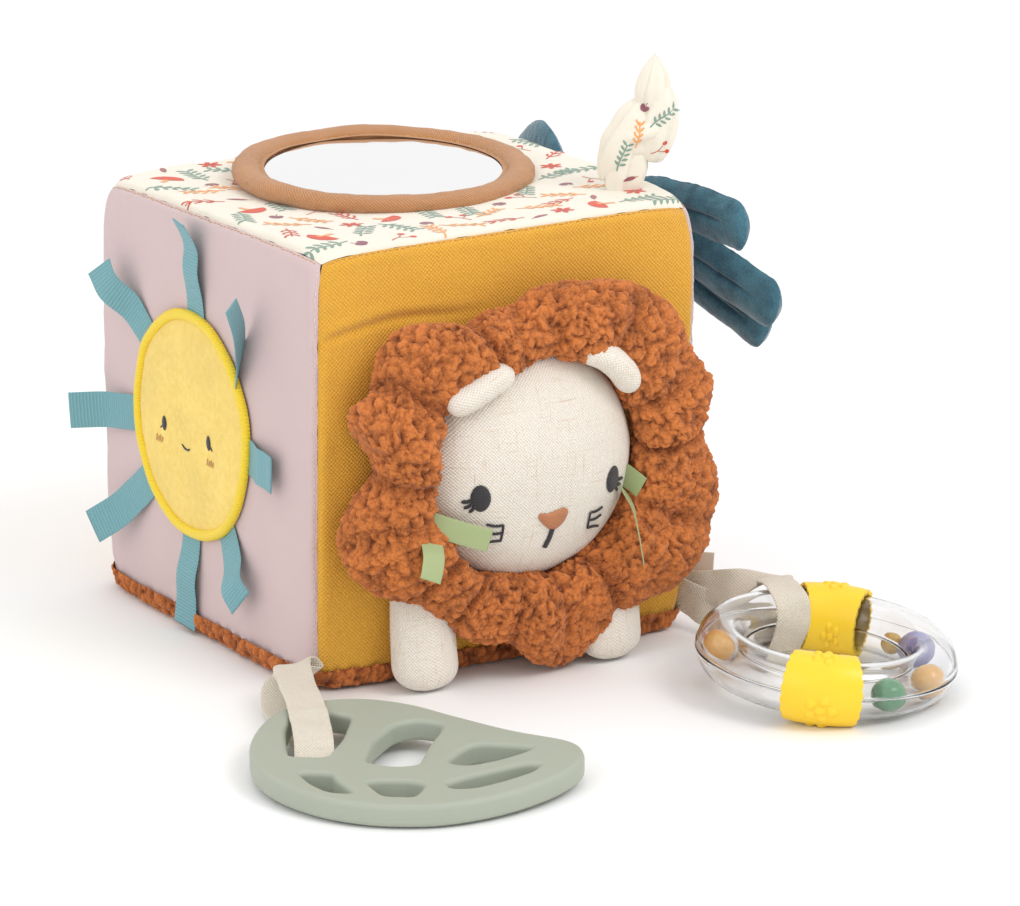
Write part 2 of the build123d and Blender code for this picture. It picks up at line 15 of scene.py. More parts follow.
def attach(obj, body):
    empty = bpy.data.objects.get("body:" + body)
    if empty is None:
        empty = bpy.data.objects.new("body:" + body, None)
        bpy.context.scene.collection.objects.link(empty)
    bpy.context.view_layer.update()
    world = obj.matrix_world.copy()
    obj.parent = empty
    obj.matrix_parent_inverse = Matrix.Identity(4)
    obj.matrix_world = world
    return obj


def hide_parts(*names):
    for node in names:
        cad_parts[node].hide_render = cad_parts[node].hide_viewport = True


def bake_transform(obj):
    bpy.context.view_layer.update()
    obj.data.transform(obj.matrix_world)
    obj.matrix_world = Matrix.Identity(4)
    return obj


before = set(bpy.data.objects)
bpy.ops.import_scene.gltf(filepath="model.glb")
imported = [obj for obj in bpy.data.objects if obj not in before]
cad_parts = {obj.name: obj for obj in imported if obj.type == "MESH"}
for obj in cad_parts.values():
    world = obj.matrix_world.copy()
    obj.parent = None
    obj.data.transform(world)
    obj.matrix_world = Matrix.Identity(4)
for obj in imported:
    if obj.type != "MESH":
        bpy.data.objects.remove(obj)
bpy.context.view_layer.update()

MM = 0.001
TAU = 2 * math.pi

# --- sizes shared by several pieces ---
HALF = 70.0
CORNER_R = 5.0
FLAT = HALF - CORNER_R
ARC = CORNER_R * math.pi / 4  # along the rounding, from the flat to the seam
REACH = FLAT + ARC
BULGE = 1.3


# === noise ===
def lattice(i, seed):
    """A repeatable number from 0 to 1 for each whole-number point."""
    mask = 0xFFFFFFFF
    h = (i[..., 0] * 374761393 + i[..., 1] * 668265263 + i[..., 2] * 1274126177) & mask
    h = ((h + seed * 40503) * 2654435) & mask
    h = ((h ^ (h >> 13)) * 1274126177) & mask
    h = ((h ^ (h >> 16)) * 224682251) & mask
    return ((h ^ (h >> 15)) & mask) / mask


def noise(p, cell, seed=0):
    """Smooth noise from -1 to 1, with bumps about cell wide."""
    q = np.asarray(p, float) / cell
    i = np.floor(q).astype(np.int64)
    f = q - i
    f = f * f * (3 - 2 * f)
    total = 0.0
    for corner in product((0, 1), repeat=3):
        weight = np.prod(np.where(np.array(corner) == 1, f, 1 - f), axis=-1)
        total = total + weight * lattice(i + np.array(corner), seed)
    return 2 * total - 1


def curls(p, cell, seed=0):
    """Round tufts about cell apart: 1 on the top of each and 0 between them."""
    q = np.asarray(p, float) / cell
    i = np.floor(q).astype(np.int64)
    nearest = np.full(q.shape[:-1], 9.0)
    for step in product((-1, 0, 1), repeat=3):
        j = i + np.array(step)
        at = j + np.stack([lattice(j, seed + k) for k in range(3)], -1)
        nearest = np.minimum(nearest, ((q - at) ** 2).sum(-1))
    return np.clip(1 - nearest / 0.6, 0, 1) ** 0.8


# === curves ===
def smooth(points, count, closed=False):
    """Evenly timed Catmull-Rom curve through the points."""
    p = np.asarray(points, float)
    n = len(p)
    t = np.linspace(0, n if closed else n - 1, count, endpoint=not closed)
    i = np.minimum(np.floor(t).astype(int), (n if closed else n - 1) - 1)
    f = (t - i)[:, None]
    if closed:
        a, b, c, d = (p[(i + k) % n] for k in (-1, 0, 1, 2))
    else:
        ends = np.vstack([2 * p[0] - p[1], p, 2 * p[-1] - p[-2]])
        a, b, c, d = (ends[i + k] for k in (0, 1, 2, 3))
    square, cube = 2 * a - 5 * b + 4 * c - d, 3 * b - a - 3 * c + d
    return 0.5 * (2 * b + (c - a) * f + square * f**2 + cube * f**3)


def unit(v):
    v = np.asarray(v, float)
    return v / np.maximum(np.linalg.norm(v, axis=-1, keepdims=True), 1e-9)


def turns(count):
    """Evenly spaced angles, once round."""
    return np.linspace(0, TAU, count, endpoint=False)


def disc(rings, sides):
    """Polar rows over a unit disc, from its middle out."""
    return np.meshgrid(np.linspace(0.001, 1, rings), turns(sides), indexing="ij")


def swell(x, power):
    """x from -1 to 1 with its size raised to a power, so that a circle becomes squarer."""
    return np.sign(x) * np.abs(x) ** power


def climb(x, low, high):
    """0 below low, 1 above high, and straight between them."""
    return np.clip((x - low) / (high - low), 0, 1)


def lengths(p):
    return np.concatenate([[0], np.cumsum(np.linalg.norm(np.diff(p, axis=0), axis=1))])


# === meshes ===
def mesh_object(name, verts, faces, material, uv=None, attributes=(), face_slots=None):
    """A linked object from points in mm, with its materials, UVs in mm and named values."""
    mesh = bpy.data.meshes.new(name)
    verts = np.asarray(verts, float)
    faces = faces.tolist() if hasattr(faces, "tolist") else faces
    mesh.from_pydata((verts * MM).tolist(), [], faces)
    for m in material if isinstance(material, (list, tuple)) else [material]:
        mesh.materials.append(m)
    if uv is not None:
        layer = mesh.uv_layers.new(name="mm")
        layer.data.foreach_set("uv", np.asarray(uv, np.float32).ravel())
    for key, values in dict(attributes).items():
        mesh.attributes.new(key, "FLOAT", "POINT").data.foreach_set(
            "value", np.asarray(values, np.float32).ravel()
        )
    if face_slots is not None:
        mesh.polygons.foreach_set("material_index", np.asarray(face_slots, np.int32))
    mesh.polygons.foreach_set("use_smooth", [True] * len(mesh.polygons))
    mesh.update()
    obj = bpy.data.objects.new(name, mesh)
    bpy.context.scene.collection.objects.link(obj)
    return obj


def grid(name, points, material, uv=None, wrap=(False, False), **attributes):
    """A surface from rows of points, facing away from its middle.

    uv has one more row or column than points where it wraps.
    """
    n, m = points.shape[:2]
    a, b = np.meshgrid(np.arange(n - 1 + wrap[0]), np.arange(m - 1 + wrap[1]), indexing="ij")
    a1, b1 = a + 1, b + 1
    corners = [(a, b), (a1, b), (a1, b1), (a, b1)]
    p0, p1, p2, p3 = (points[i % n, j % m] for i, j in corners)
    middle = points.mean((0, 1)) if wrap[1] else np.array([0, 0, HALF])
    if np.sum((p0 + p2 - 2 * middle) * np.cross(p2 - p0, p3 - p1)) < 0:
        corners = corners[::-1]
    faces = np.stack([(i % n) * m + j % m for i, j in corners], -1).reshape(-1, 4)
    loops = None
    if uv is not None:
        loops = np.stack([uv[i, j] for i, j in corners], 2).reshape(-1, 2)
    return mesh_object(
        name, points.reshape(-1, 3), faces, material, loops,
        {k: v.reshape(-1) for k, v in attributes.items()},
    )


BAND_SIDES = 28


def capped(rows, line):
    """Rows round a line, closed by a point at each end of the line."""
    sides = rows.shape[1]
    return np.concatenate([line[None, :1].repeat(sides, 1), rows, line[None, -1:].repeat(sides, 1)])


def ribbon(name, centre, across, width, thick, material, ripple=0.0):
    """A flat band with soft edges. centre and across are rows; width may be a row too."""
    centre, across = np.asarray(centre, float), unit(across)
    along = unit(np.gradient(centre, axis=0))
    across = unit(across - along * (across * along).sum(1, keepdims=True))
    normal = np.cross(across, along)
    n = len(centre)
    a = turns(BAND_SIDES)
    sx = swell(np.cos(a), 0.3) / 2
    sy = swell(np.sin(a), 0.8) / 2
    w = np.broadcast_to(np.asarray(width, float), (n,)).copy()
    pts = (
        centre[:, None]
        + across[:, None] * (sx[None, :, None] * w[:, None, None])
        + normal[:, None] * (sy[None, :, None] * thick)
    )
    if ripple:
        pts += normal[:, None] * (noise(pts, 6.0, 5) * ripple)[..., None]
    pts = capped(pts, centre)
    run, w = np.pad(lengths(centre), 1, "edge"), np.pad(w, 1, "edge")
    u = np.concatenate([sx, sx[:1]])[None, :] * w[:, None]
    uv = np.stack([u, np.broadcast_to(run[:, None], u.shape)], -1)
    return grid(name, pts, material, uv, (False, True))


def tube(name, path, radius, material, sides, squash, upright):
    """A round or oval cord-like body along a path; radius may be a row."""
    along = unit(np.gradient(path, axis=0))
    side = unit(np.cross(along, np.broadcast_to(np.array(upright, float), along.shape)))
    top = np.cross(side, along)
    a = turns(sides)[None, :, None]
    r = radius[:, None, None]
    pts = path[:, None] + r * (side[:, None] * np.cos(a) + top[:, None] * np.sin(a) * squash)
    run = np.pad(lengths(path), 1, "edge")
    around = np.linspace(0, TAU * float(np.mean(r)), sides + 1)
    uv = np.stack(np.meshgrid(around, run, indexing="xy"), -1)
    return grid(name, capped(pts, path), material, uv, (False, True))


class Batch:
    """Many small shapes gathered into one object."""

    def __init__(self):
        self.verts, self.faces, self.slots, self.count = [], [], [], 0

    def add(self, verts, faces, slot=0):
        self.verts.append(np.asarray(verts, float).reshape(-1, 3))
        self.faces += [[i + self.count for i in f] for f in faces]
        self.slots += [slot] * len(faces)
        self.count += len(self.verts[-1])

    def patch(self, outline, place, slot=0, lift=0.0, rings=4):
        """A small raised shape: an outline in mm, put on a surface by place(u, v, lift)."""
        outline = np.asarray(outline, float)
        middle = outline.mean(0)
        k = len(outline)
        verts, faces = [], []
        for r in range(rings + 1):
            s = r / rings
            p = middle + (outline - middle) * s if r else middle[None]
            rise = lift * (1 - s**4)
            verts.append(place(p[:, 0], p[:, 1], rise))
        for j in range(k):
            faces.append([0, 1 + j, 1 + (j + 1) % k])
        for r in range(1, rings):
            a, b = 1 + (r - 1) * k, 1 + r * k
            for j in range(k):
                faces.append([a + j, b + j, b + (j + 1) % k, a + (j + 1) % k])
        self.add(np.vstack(verts), faces, slot)

    def stroke(self, line, width, place, slot=0, lift=0.3, taper=True):
        """A raised line of thread along points (u, v)."""
        line = smooth(line, 4 * len(line) + 5)
        along = unit(np.gradient(line, axis=0))
        side = np.stack([-along[:, 1], along[:, 0]], 1)
        n = len(line)
        w = np.full(n, width / 2)
        if taper:
            w *= np.clip(np.sin(np.linspace(0.12, math.pi - 0.12, n)) * 1.8, 0.3, 1)
        rows = []
        for s, rise in ((-1, 0), (-0.7, 0.75), (0, 1), (0.7, 0.75), (1, 0)):
            p = line + side * (w * s)[:, None]
            rows.append(place(p[:, 0], p[:, 1], rise * lift))
        faces = [
            [r * n + j, r * n + j + 1, (r + 1) * n + j + 1, (r + 1) * n + j]
            for r in range(4) for j in range(n - 1)
        ]
        self.add(np.vstack(rows), faces, slot)

    def make(self, name, materials):
        verts = np.vstack(self.verts)
        return mesh_object(name, verts, self.faces, materials, face_slots=self.slots)


def claim(piece, node, body="cube", also=()):
    """Hands a piece to the frame: the nodes it stands for, its filling if it has one, its body."""
    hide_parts(node, *also)
    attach(piece, body)


# === materials ===
def rgb(r, g, b):
    def linear(c):
        c /= 255
        return c / 12.92 if c <= 0.04045 else ((c + 0.055) / 1.055) ** 2.4

    return (linear(r), linear(g), linear(b), 1.0)


def darker(colour, share):
    return tuple(c * share for c in colour[:3]) + (1.0,)


def put(tree, kind, inputs=(), **settings):
    """A shader node with its settings, values and links in one call."""
    n = tree.nodes.new(kind)
    for key, value in settings.items():
        setattr(n, key, value)
    for key, value in dict(inputs).items():
        if isinstance(value, bpy.types.NodeSocket):
            tree.links.new(value, n.inputs[key])
        else:
            n.inputs[key].default_value = value
    return n


def calc(tree, operation, *values):
    return put(tree, "ShaderNodeMath", dict(enumerate(values)), operation=operation).outputs[0]


def blend_colour(tree, fac, a, b, mode="MIX"):
    n = tree.nodes.new("ShaderNodeMix")
    n.data_type, n.blend_type = "RGBA", mode
    for i, v in ((0, fac), (6, a), (7, b)):
        if isinstance(v, bpy.types.NodeSocket):
            tree.links.new(v, n.inputs[i])
        else:
            n.inputs[i].default_value = v
    return n.outputs[2]


def ramp(tree, value, low, high):
    """0 below low, 1 above high."""
    return put(
        tree, "ShaderNodeMapRange", {0: value, 1: low, 2: high, 3: 0.0, 4: 1.0}, clamp=True
    ).outputs[0]


def grey(tree, level):
    return put(tree, "ShaderNodeCombineXYZ", {0: level, 1: level, 2: level}).outputs[0]


def emboss(tree, shader, height, strength=1.0):
    """Bumps a surface by a height in mm."""
    bump = put(
        tree, "ShaderNodeBump", {"Strength": strength, "Distance": MM, "Height": height}
    ).outputs[0]
    tree.links.new(bump, shader.inputs["Normal"])


def noise_node(tree, scale, detail=2.0, vector=None, stretch=None):
    if vector is None:
        vector = put(tree, "ShaderNodeTexCoord").outputs["Object"]
    if stretch:
        vector = put(tree, "ShaderNodeMapping", {"Vector": vector, "Scale": stretch}).outputs[0]
    return put(
        tree, "ShaderNodeTexNoise", {"Vector": vector, "Scale": scale, "Detail": detail}
    ).outputs[0]


def start(name, rough, sheen=0.0, **sockets):
    """A new material, its node tree and its shader, with the constant values set."""
    m = bpy.data.materials.new(name)
    m.use_nodes = True
    t = m.node_tree
    s = t.nodes["Principled BSDF"]
    s.inputs["Roughness"].default_value = rough
    s.inputs["Sheen Weight"].default_value = sheen
    s.inputs["Sheen Roughness"].default_value = 0.5
    for key, value in sockets.items():
        s.inputs[key.replace("_", " ")].default_value = value
    return m, t, s


def cloth(
    name, colour, pitch=(0.8, 0.8), pattern="weave", relief=0.12, shade=0.75, mottle=0.08,
    slub=0.0, slub_colour=None, sheen=0.25, rough=0.92, loose=0.12,
):
    """Woven or ribbed cloth. Its threads follow the mesh's own lengths in mm."""
    m, t, s = start(name, rough, sheen)
    uv = put(t, "ShaderNodeUVMap", uv_map="mm").outputs[0]
    drift = put(t, "ShaderNodeTexNoise", {"Vector": uv, "Scale": 0.9, "Detail": 2.0}).outputs[1]
    shift = put(t, "ShaderNodeVectorMath", {0: drift, 1: (loose,) * 3}, operation="MULTIPLY")
    moved = put(t, "ShaderNodeVectorMath", {0: uv, 1: shift.outputs[0]}, operation="ADD")
    xyz = put(t, "ShaderNodeSeparateXYZ", {0: moved.outputs[0]})
    phase = [calc(t, "MULTIPLY", xyz.outputs[i], TAU / pitch[i]) for i in (0, 1)]
    if pattern == "weave":
        thread = calc(t, "MULTIPLY", calc(t, "SINE", phase[0]), calc(t, "SINE", phase[1]))
    elif pattern == "twill":
        thread = calc(t, "SINE", calc(t, "ADD", *phase))
    else:
        thread = calc(t, "SINE", phase[1])
    level = calc(t, "MULTIPLY_ADD", thread, 0.5, 0.5)
    fine = noise_node(t, 2600.0, 2.0)
    # painted shade: the low parts of the weave take the colour darkened by shade, and fine noise
    # darkens fibres at random
    share = calc(t, "MULTIPLY_ADD", fine, 0.5, calc(t, "MULTIPLY", level, 0.55))
    tint = blend_colour(t, share, darker(colour, shade), colour)
    cloud = calc(t, "MULTIPLY_ADD", noise_node(t, 45.0, 4.0), 2 * mottle, 1 - mottle)
    tint = blend_colour(t, 1.0, tint, grey(t, cloud), "MULTIPLY")
    if slub:
        for stretch in ((0.1, 1.6, 1.0), (1.6, 0.1, 1.0)):
            streak = noise_node(t, 0.9, 3.0, uv, stretch)
            share = calc(t, "MULTIPLY", ramp(t, streak, 0.60, 0.74), slub)
            tint = blend_colour(t, share, tint, slub_colour)
    t.links.new(tint, s.inputs["Base Color"])
    hair = calc(t, "MULTIPLY", fine, 0.3 * relief)
    emboss(t, s, calc(t, "ADD", calc(t, "MULTIPLY", level, relief), hair))
    return m


def pile(name, colour, deep, fibre, sheen, relief):
    """Sherpa, plush or fleece: its own colour on the tips, and the deep colour towards the gaps as
    painted shade. The depth attribute is 1 on the tips; where it is only noise, deep gives random
    tone.
    """
    m, t, s = start(name, 0.95, sheen, Sheen_Roughness=0.4)
    depth = put(t, "ShaderNodeAttribute", attribute_name="depth").outputs["Fac"]
    fine = noise_node(t, fibre, 3.0)
    fuzz = calc(t, "MULTIPLY", calc(t, "SUBTRACT", fine, 0.5), 0.9)
    level = calc(t, "ADD", calc(t, "MULTIPLY", depth, 0.75), fuzz)
    # painted shade: the colour turns to deep where depth is low, in the gaps between tufts and in
    # creases
    tint = blend_colour(t, ramp(t, level, 0.0, 0.75), deep, colour)
    cloud = calc(t, "MULTIPLY_ADD", noise_node(t, 60.0, 3.0), 0.3, 0.85)
    t.links.new(blend_colour(t, 1.0, tint, grey(t, cloud), "MULTIPLY"), s.inputs["Base Color"])
    emboss(t, s, calc(t, "MULTIPLY", fine, relief))
    return m


def thread(name, colour, pitch, shade):
    """Embroidery: close parallel threads with a slight shine."""
    m, t, s = start(name, 0.5, 0.2)
    where = put(t, "ShaderNodeTexCoord").outputs["Object"]
    height = put(t, "ShaderNodeSeparateXYZ", {0: where}).outputs[2]
    wobble = calc(t, "MULTIPLY", noise_node(t, 900.0, 2.0), 0.0004)
    phase = calc(t, "MULTIPLY", calc(t, "ADD", height, wobble), TAU / (pitch * MM))
    level = calc(t, "MULTIPLY_ADD", calc(t, "SINE", phase), 0.5, 0.5)
    # painted shade: the colour is darkened by shade in the grooves between the threads
    t.links.new(blend_colour(t, level, darker(colour, shade), colour), s.inputs["Base Color"])
    emboss(t, s, calc(t, "MULTIPLY", level, 0.12), 0.8)
    return m


def moulded(name, colour, rough, grain, mottle=0.04, **sockets):
    """Moulded rubber or plastic with a faint satin grain."""
    m, t, s = start(name, rough, **sockets)
    cloud = calc(t, "MULTIPLY_ADD", noise_node(t, 35.0, 3.0), 2 * mottle, 1 - mottle)
    t.links.new(blend_colour(t, 1.0, colour, grey(t, cloud), "MULTIPLY"), s.inputs["Base Color"])
    rough_map = calc(t, "MULTIPLY_ADD", noise_node(t, 120.0, 3.0), 0.12, rough - 0.06)
    t.links.new(rough_map, s.inputs["Roughness"])
    emboss(t, s, calc(t, "MULTIPLY", noise_node(t, 300.0, 3.0), grain))
    return m


BROWN_SLUB = rgb(196, 158, 116)
mustard = cloth(
    "mustard_linen", rgb(252, 186, 58), (1.35, 1.35), relief=0.26, shade=0.48, loose=0.34,
    mottle=0.07, slub=0.4, slub_colour=rgb(206, 138, 40),
)
mauve = cloth(
    "mauve_cotton", rgb(208, 185, 184), (0.42, 0.42), relief=0.03, shade=0.93, mottle=0.03,
    slub=0.25, slub_colour=rgb(196, 172, 172),
)
cream = cloth(
    "cream_cotton", rgb(236, 229, 214), (0.42, 0.42), relief=0.03, shade=0.95, mottle=0.02,
)
linen = cloth(
    "natural_linen", rgb(252, 243, 230), (1.1, 1.1), relief=0.24, shade=0.64, mottle=0.06,
    loose=0.25, slub=0.5, slub_colour=rgb(206, 174, 140),
)
tape = cloth(
    "natural_tape", rgb(240, 230, 212), (1.0, 1.1), "weave", relief=0.24, shade=0.62,
    mottle=0.05, slub=0.3, slub_colour=BROWN_SLUB,
)
teal_ribbon = cloth(
    "teal_grosgrain", rgb(122, 176, 184), (9.0, 1.15), "rib", relief=0.22, shade=0.72,
    mottle=0.03, sheen=0.1, rough=0.6, loose=0.02,
)
green_ribbon = cloth(
    "green_satin", rgb(166, 180, 128), (9.0, 0.4), "rib", relief=0.03, shade=0.9, mottle=0.03,
    sheen=0.1, rough=0.4, loose=0.02,
)
camel = cloth(
    "camel_jersey", rgb(208, 148, 98), (1.5, 1.1), "twill", relief=0.26, shade=0.6, mottle=0.12,
    loose=0.3, slub=0.3, slub_colour=rgb(226, 172, 124),
)
sherpa = pile("rust_sherpa", rgb(206, 120, 58), rgb(104, 50, 20), 1300.0, sheen=0.12, relief=0.4)
plush = pile("teal_plush", rgb(70, 118, 134), rgb(30, 68, 84), 1500.0, sheen=0.6, relief=0.22)
fleece = pile(
    "yellow_fleece", rgb(240, 212, 122), rgb(230, 198, 104), 1600.0, sheen=0.2, relief=0.10,
)
brown_felt = pile("brown_felt", rgb(178, 124, 86), rgb(130, 84, 54), 1500.0, sheen=0.2, relief=0.12)
satin_yellow = thread("yellow_satin_stitch", rgb(252, 218, 34), 0.55, shade=0.82)
black_thread = thread("black_thread", rgb(44, 40, 46), 0.5, shade=0.5)
tan_thread = thread("tan_thread", rgb(196, 126, 80), 0.5, shade=0.7)
blush_thread = thread("blush_thread", rgb(214, 160, 88), 0.5, shade=0.8)
white_thread = thread("white_thread", rgb(236, 222, 218), 0.4, shade=0.85)
gold_thread = thread("gold_thread", rgb(226, 164, 60), 0.4, shade=0.8)
sage = moulded(
    "sage_silicone", rgb(165, 171, 156), 0.55, 0.015, 0.03, Subsurface_Weight=0.15,
    Subsurface_Scale=0.003,
)
yellow_rubber = moulded(
    "yellow_rubber", rgb(248, 206, 40), 0.38, 0.02, 0.03, Subsurface_Weight=0.1,
    Subsurface_Scale=0.002,
)
label_satin = cloth(
    "label_satin", rgb(214, 192, 172), (9.0, 0.35), "rib", relief=0.02, shade=0.92, mottle=0.03,
    rough=0.5,
)


def clear_plastic():
    m, t, s = start("clear_plastic", 0.04, Transmission_Weight=1.0, IOR=1.45)
    faint = calc(t, "MULTIPLY_ADD", noise_node(t, 25.0, 2.0), 0.03, 0.96)
    t.links.new(grey(t, faint), s.inputs["Base Color"])
    emboss(t, s, noise_node(t, 60.0, 1.0), 0.25)
    return m


def mirror_film():
    m, t, s = start("mirror_film", 0.06, Metallic=1.0)
    haze = calc(t, "MULTIPLY_ADD", noise_node(t, 18.0, 2.0), 0.04, 0.885)
    t.links.new(grey(t, haze), s.inputs["Base Color"])
    emboss(t, s, noise_node(t, 30.0, 1.0), 0.15)
    return m


clear = clear_plastic()
mirror = mirror_film()
BEAD_COLOURS = {
    "bead_orange_left": rgb(255, 198, 118),
    "bead_purple": rgb(150, 148, 204),
    "bead_yellow_small": rgb(226, 180, 84),
    "bead_orange_right": rgb(255, 198, 118),
    "bead_green": rgb(104, 170, 124),
}

# === cube ===
SIDES = {
    "panel_front": ((0, -1, 0), (1, 0, 0), (0, 0, 1)),
    "panel_back": ((0, 1, 0), (-1, 0, 0), (0, 0, 1)),
    "panel_left": ((-1, 0, 0), (0, -1, 0), (0, 0, 1)),
    "panel_right": ((1, 0, 0), (0, 1, 0), (0, 0, 1)),
    "panel_top": ((0, 0, 1), (1, 0, 0), (0, 1, 0)),
    "panel_bottom": ((0, 0, -1), (1, 0, 0), (0, -1, 0)),
}
# How far each corner of the stuffed cube sits off the square: along the view's right, and up.
CORNER_PUSH = {
    (-1, -1, 1): (2.0, 1.2), (-1, 1, 1): (-5.0, 1.2),
    (1, -1, 1): (1.6, 4.2), (1, 1, 1): (4.0, 3.6),
    (-1, -1, -1): (0.0, 0.5), (-1, 1, -1): (-5.2, 0.0),
    (1, -1, -1): (-1.4, 0.0), (1, 1, -1): (1.0, 0.0),
}
VIEW_RIGHT = np.array([0.863, -0.505, 0.0])
VERTEX_BLUNT = 4.5
SHERPA_WRAP = 1.5  # how far round the bottom edge the sherpa comes, in radians
CROWN_SHARE = {"panel_bottom": 0.0, "panel_top": -1.6}  # the other panels swell by 1
FOLD_HEIGHT = 47.0  # of the soft fold above the front panel's middle


def soften(p):
    """Moves points of the cube's skin by the corners' offsets."""
    k = np.clip((p - np.array([0, 0, HALF])) / HALF, -1, 1)
    blunt = np.prod(np.abs(k), axis=-1)[..., None] ** 7
    moved = -np.sign(k) * blunt * VERTEX_BLUNT * np.array([1, 1, 1.0])
    moved[..., 2] *= k[..., 2] > 0
    for corner, (right, up) in CORNER_PUSH.items():
        w = np.prod((1 + k * np.array(corner)) / 2, axis=-1)[..., None]
        moved += w * (VIEW_RIGHT * right + np.array([0, 0, up]))
    return p + moved


def skin(side, s, t, lift=0.0):
    """A point on a panel, s and t mm along the cloth from the panel's middle, lift off it."""
    normal, across, up = (np.array(v, float) for v in SIDES[side])
    s, t, lift = np.broadcast_arrays(*(np.asarray(q, float) for q in (s, t, lift)))
    most = SHERPA_WRAP if side == "panel_bottom" else math.pi / 4
    reach = FLAT + CORNER_R * most
    a = np.clip((np.abs(s) - FLAT) / CORNER_R, 0, most)
    b = np.clip((np.abs(t) - FLAT) / CORNER_R, 0, most)
    n = unit(np.stack([np.sign(s) * np.tan(a), np.sign(t) * np.tan(b), np.ones_like(s)], -1))
    core = np.stack([np.clip(s, -FLAT, FLAT), np.clip(t, -FLAT, FLAT), np.full_like(s, FLAT)], -1)
    edge = reach - np.maximum(np.abs(s), np.abs(t))
    dip = -np.exp(-((edge / 1.1) ** 2))
    crown = BULGE * np.clip(1 - (s / reach) ** 2, 0, 1) * np.clip(1 - (t / reach) ** 2, 0, 1)
    crown = crown * CROWN_SHARE.get(side, 1.0)
    p = core + n * (CORNER_R + dip + lift)[..., None]
    p[..., 2] += crown
    world = p[..., :1] * across + p[..., 1:2] * up + p[..., 2:] * normal + np.array([0, 0, HALF])
    fold = noise(world, 26.0, 3) * 0.6 + noise(world, 11.0, 4) * 0.22
    if side == "panel_front":
        sag = FOLD_HEIGHT + 0.05 * s + 1.2 * np.sin(s / 9.0)
        valley = -0.9 * np.exp(-(((t - sag) / 1.6) ** 2))
        ridge = 0.5 * np.exp(-(((t - sag - 3) / 2.4) ** 2))
        fold = fold + (valley + ridge) * climb(-s, 8, 33)
    fade = np.clip(edge / 6.0, 0, 1)
    world = world + normal * (fold * fade)[..., None] * (side != "panel_bottom")
    # Short puckers that run in from each sewn edge.
    for value, other in ((s, t), (t, s)):
        near = np.exp(-(((reach - np.abs(value)) / 5.0) ** 2))
        which = np.full_like(other, sum(normal * (1, 2, 3)) * 9)
        along = np.stack([other, value * 0.15, which], -1)
        world = world + normal * (noise(along, 4.5, 8) * 0.35 * near)[..., None]
    return soften(world)


SIDE_CLOTH = {
    "panel_front": mustard, "panel_back": mustard, "panel_left": mauve,
    "panel_right": mauve, "panel_top": cream, "panel_bottom": sherpa,
}
for side, material in SIDE_CLOTH.items():
    sherpa_side = side == "panel_bottom"
    far = FLAT + CORNER_R * SHERPA_WRAP if sherpa_side else REACH
    line = np.linspace(-far, far, 420 if sherpa_side else 241)
    s, t = np.meshgrid(line, line, indexing="ij")
    points = skin(side, s, t)
    extra = {}
    if sherpa_side:
        tuft = 0.6 * curls(points, 3.2, 11) + 0.4 * curls(points, 1.8, 12)
        rim = climb(np.maximum(np.abs(s), np.abs(t)), FLAT - 4, FLAT + 2)
        outward = np.sign(points) * np.clip(np.abs(points) - FLAT, 0, 5) * np.array([1, 1, 0])
        points = points + unit(outward) * ((0.6 + 2.9 * tuft) * rim)[..., None]
        points[..., 2] += (1.2 + 1.6 * tuft) * climb(points[..., 2], 1.5, 4.5) * rim
        points[..., 2] = np.maximum(points[..., 2] + tuft * 0.5 * (1 - rim), 0.05)
        # painted shade: the depth attribute darkens the sherpa in the gaps between its tufts
        extra = {"depth": tuft}
    panel = grid(side, points, material, np.stack([s, t], -1), **extra)
    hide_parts(side)
    if side == "panel_top":
        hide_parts("foam_core", "foam_plug", "rattle_capsule_lower", "rattle_capsule_upper")
    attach(panel, "cube")

# Small running stitches along the seams of the front panel and round the top.
SEAM_STEP = 2.1
stitches = Batch()
for side, axis, end, slot in (
    ("panel_left", 0, 1, 0), ("panel_front", 1, 1, 1), ("panel_left", 1, 1, 1),
    ("panel_right", 0, -1, 0), ("panel_right", 1, 1, 1), ("panel_back", 1, 1, 1),
    ("panel_left", 0, -1, 0),
):
    for k in np.arange(-REACH + 2, REACH - 2, SEAM_STEP):
        a = np.array([k, k + 0.6, k + 1.2])
        b = np.full(3, end * (REACH - 0.9)) + 0.12 * end * np.sin(k)
        line = np.stack([b, a] if axis == 0 else [a, b], 1)
        on_side = lambda u, v, rise, side=side: skin(side, u, v, 0.12 + rise)
        stitches.stroke(line, 0.3, on_side, slot, 0.28)
seam_stitches = stitches.make("seam_stitches", [white_thread, gold_thread])
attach(seam_stitches, "cube")

# --- the printed pattern on the top ---
PRINT_INKS = [
    cloth("print_" + n, rgb(*c), (0.42, 0.42), relief=0.02, shade=0.9, mottle=0.08)
    for n, c in {
        "red": (214, 72, 40), "peach": (244, 166, 96), "sage": (132, 160, 144),
        "plum": (146, 92, 104), "rust": (196, 96, 60),
    }.items()
]
RED, PEACH, SAGE, PLUM, RUST = range(5)


def oval(length, width, points=14, lean=0.0, point=1.0):
    a = turns(points)
    x = np.cos(a) * length / 2
    y = np.sin(a) * width / 2 * (1 - point * 0.45 * np.abs(np.cos(a)) ** 3)
    return turn(np.stack([x, y], 1), lean)


def turn(p, angle):
    c, s = math.cos(angle), math.sin(angle)
    return np.asarray(p, float) @ np.array([[c, s], [-s, c]])


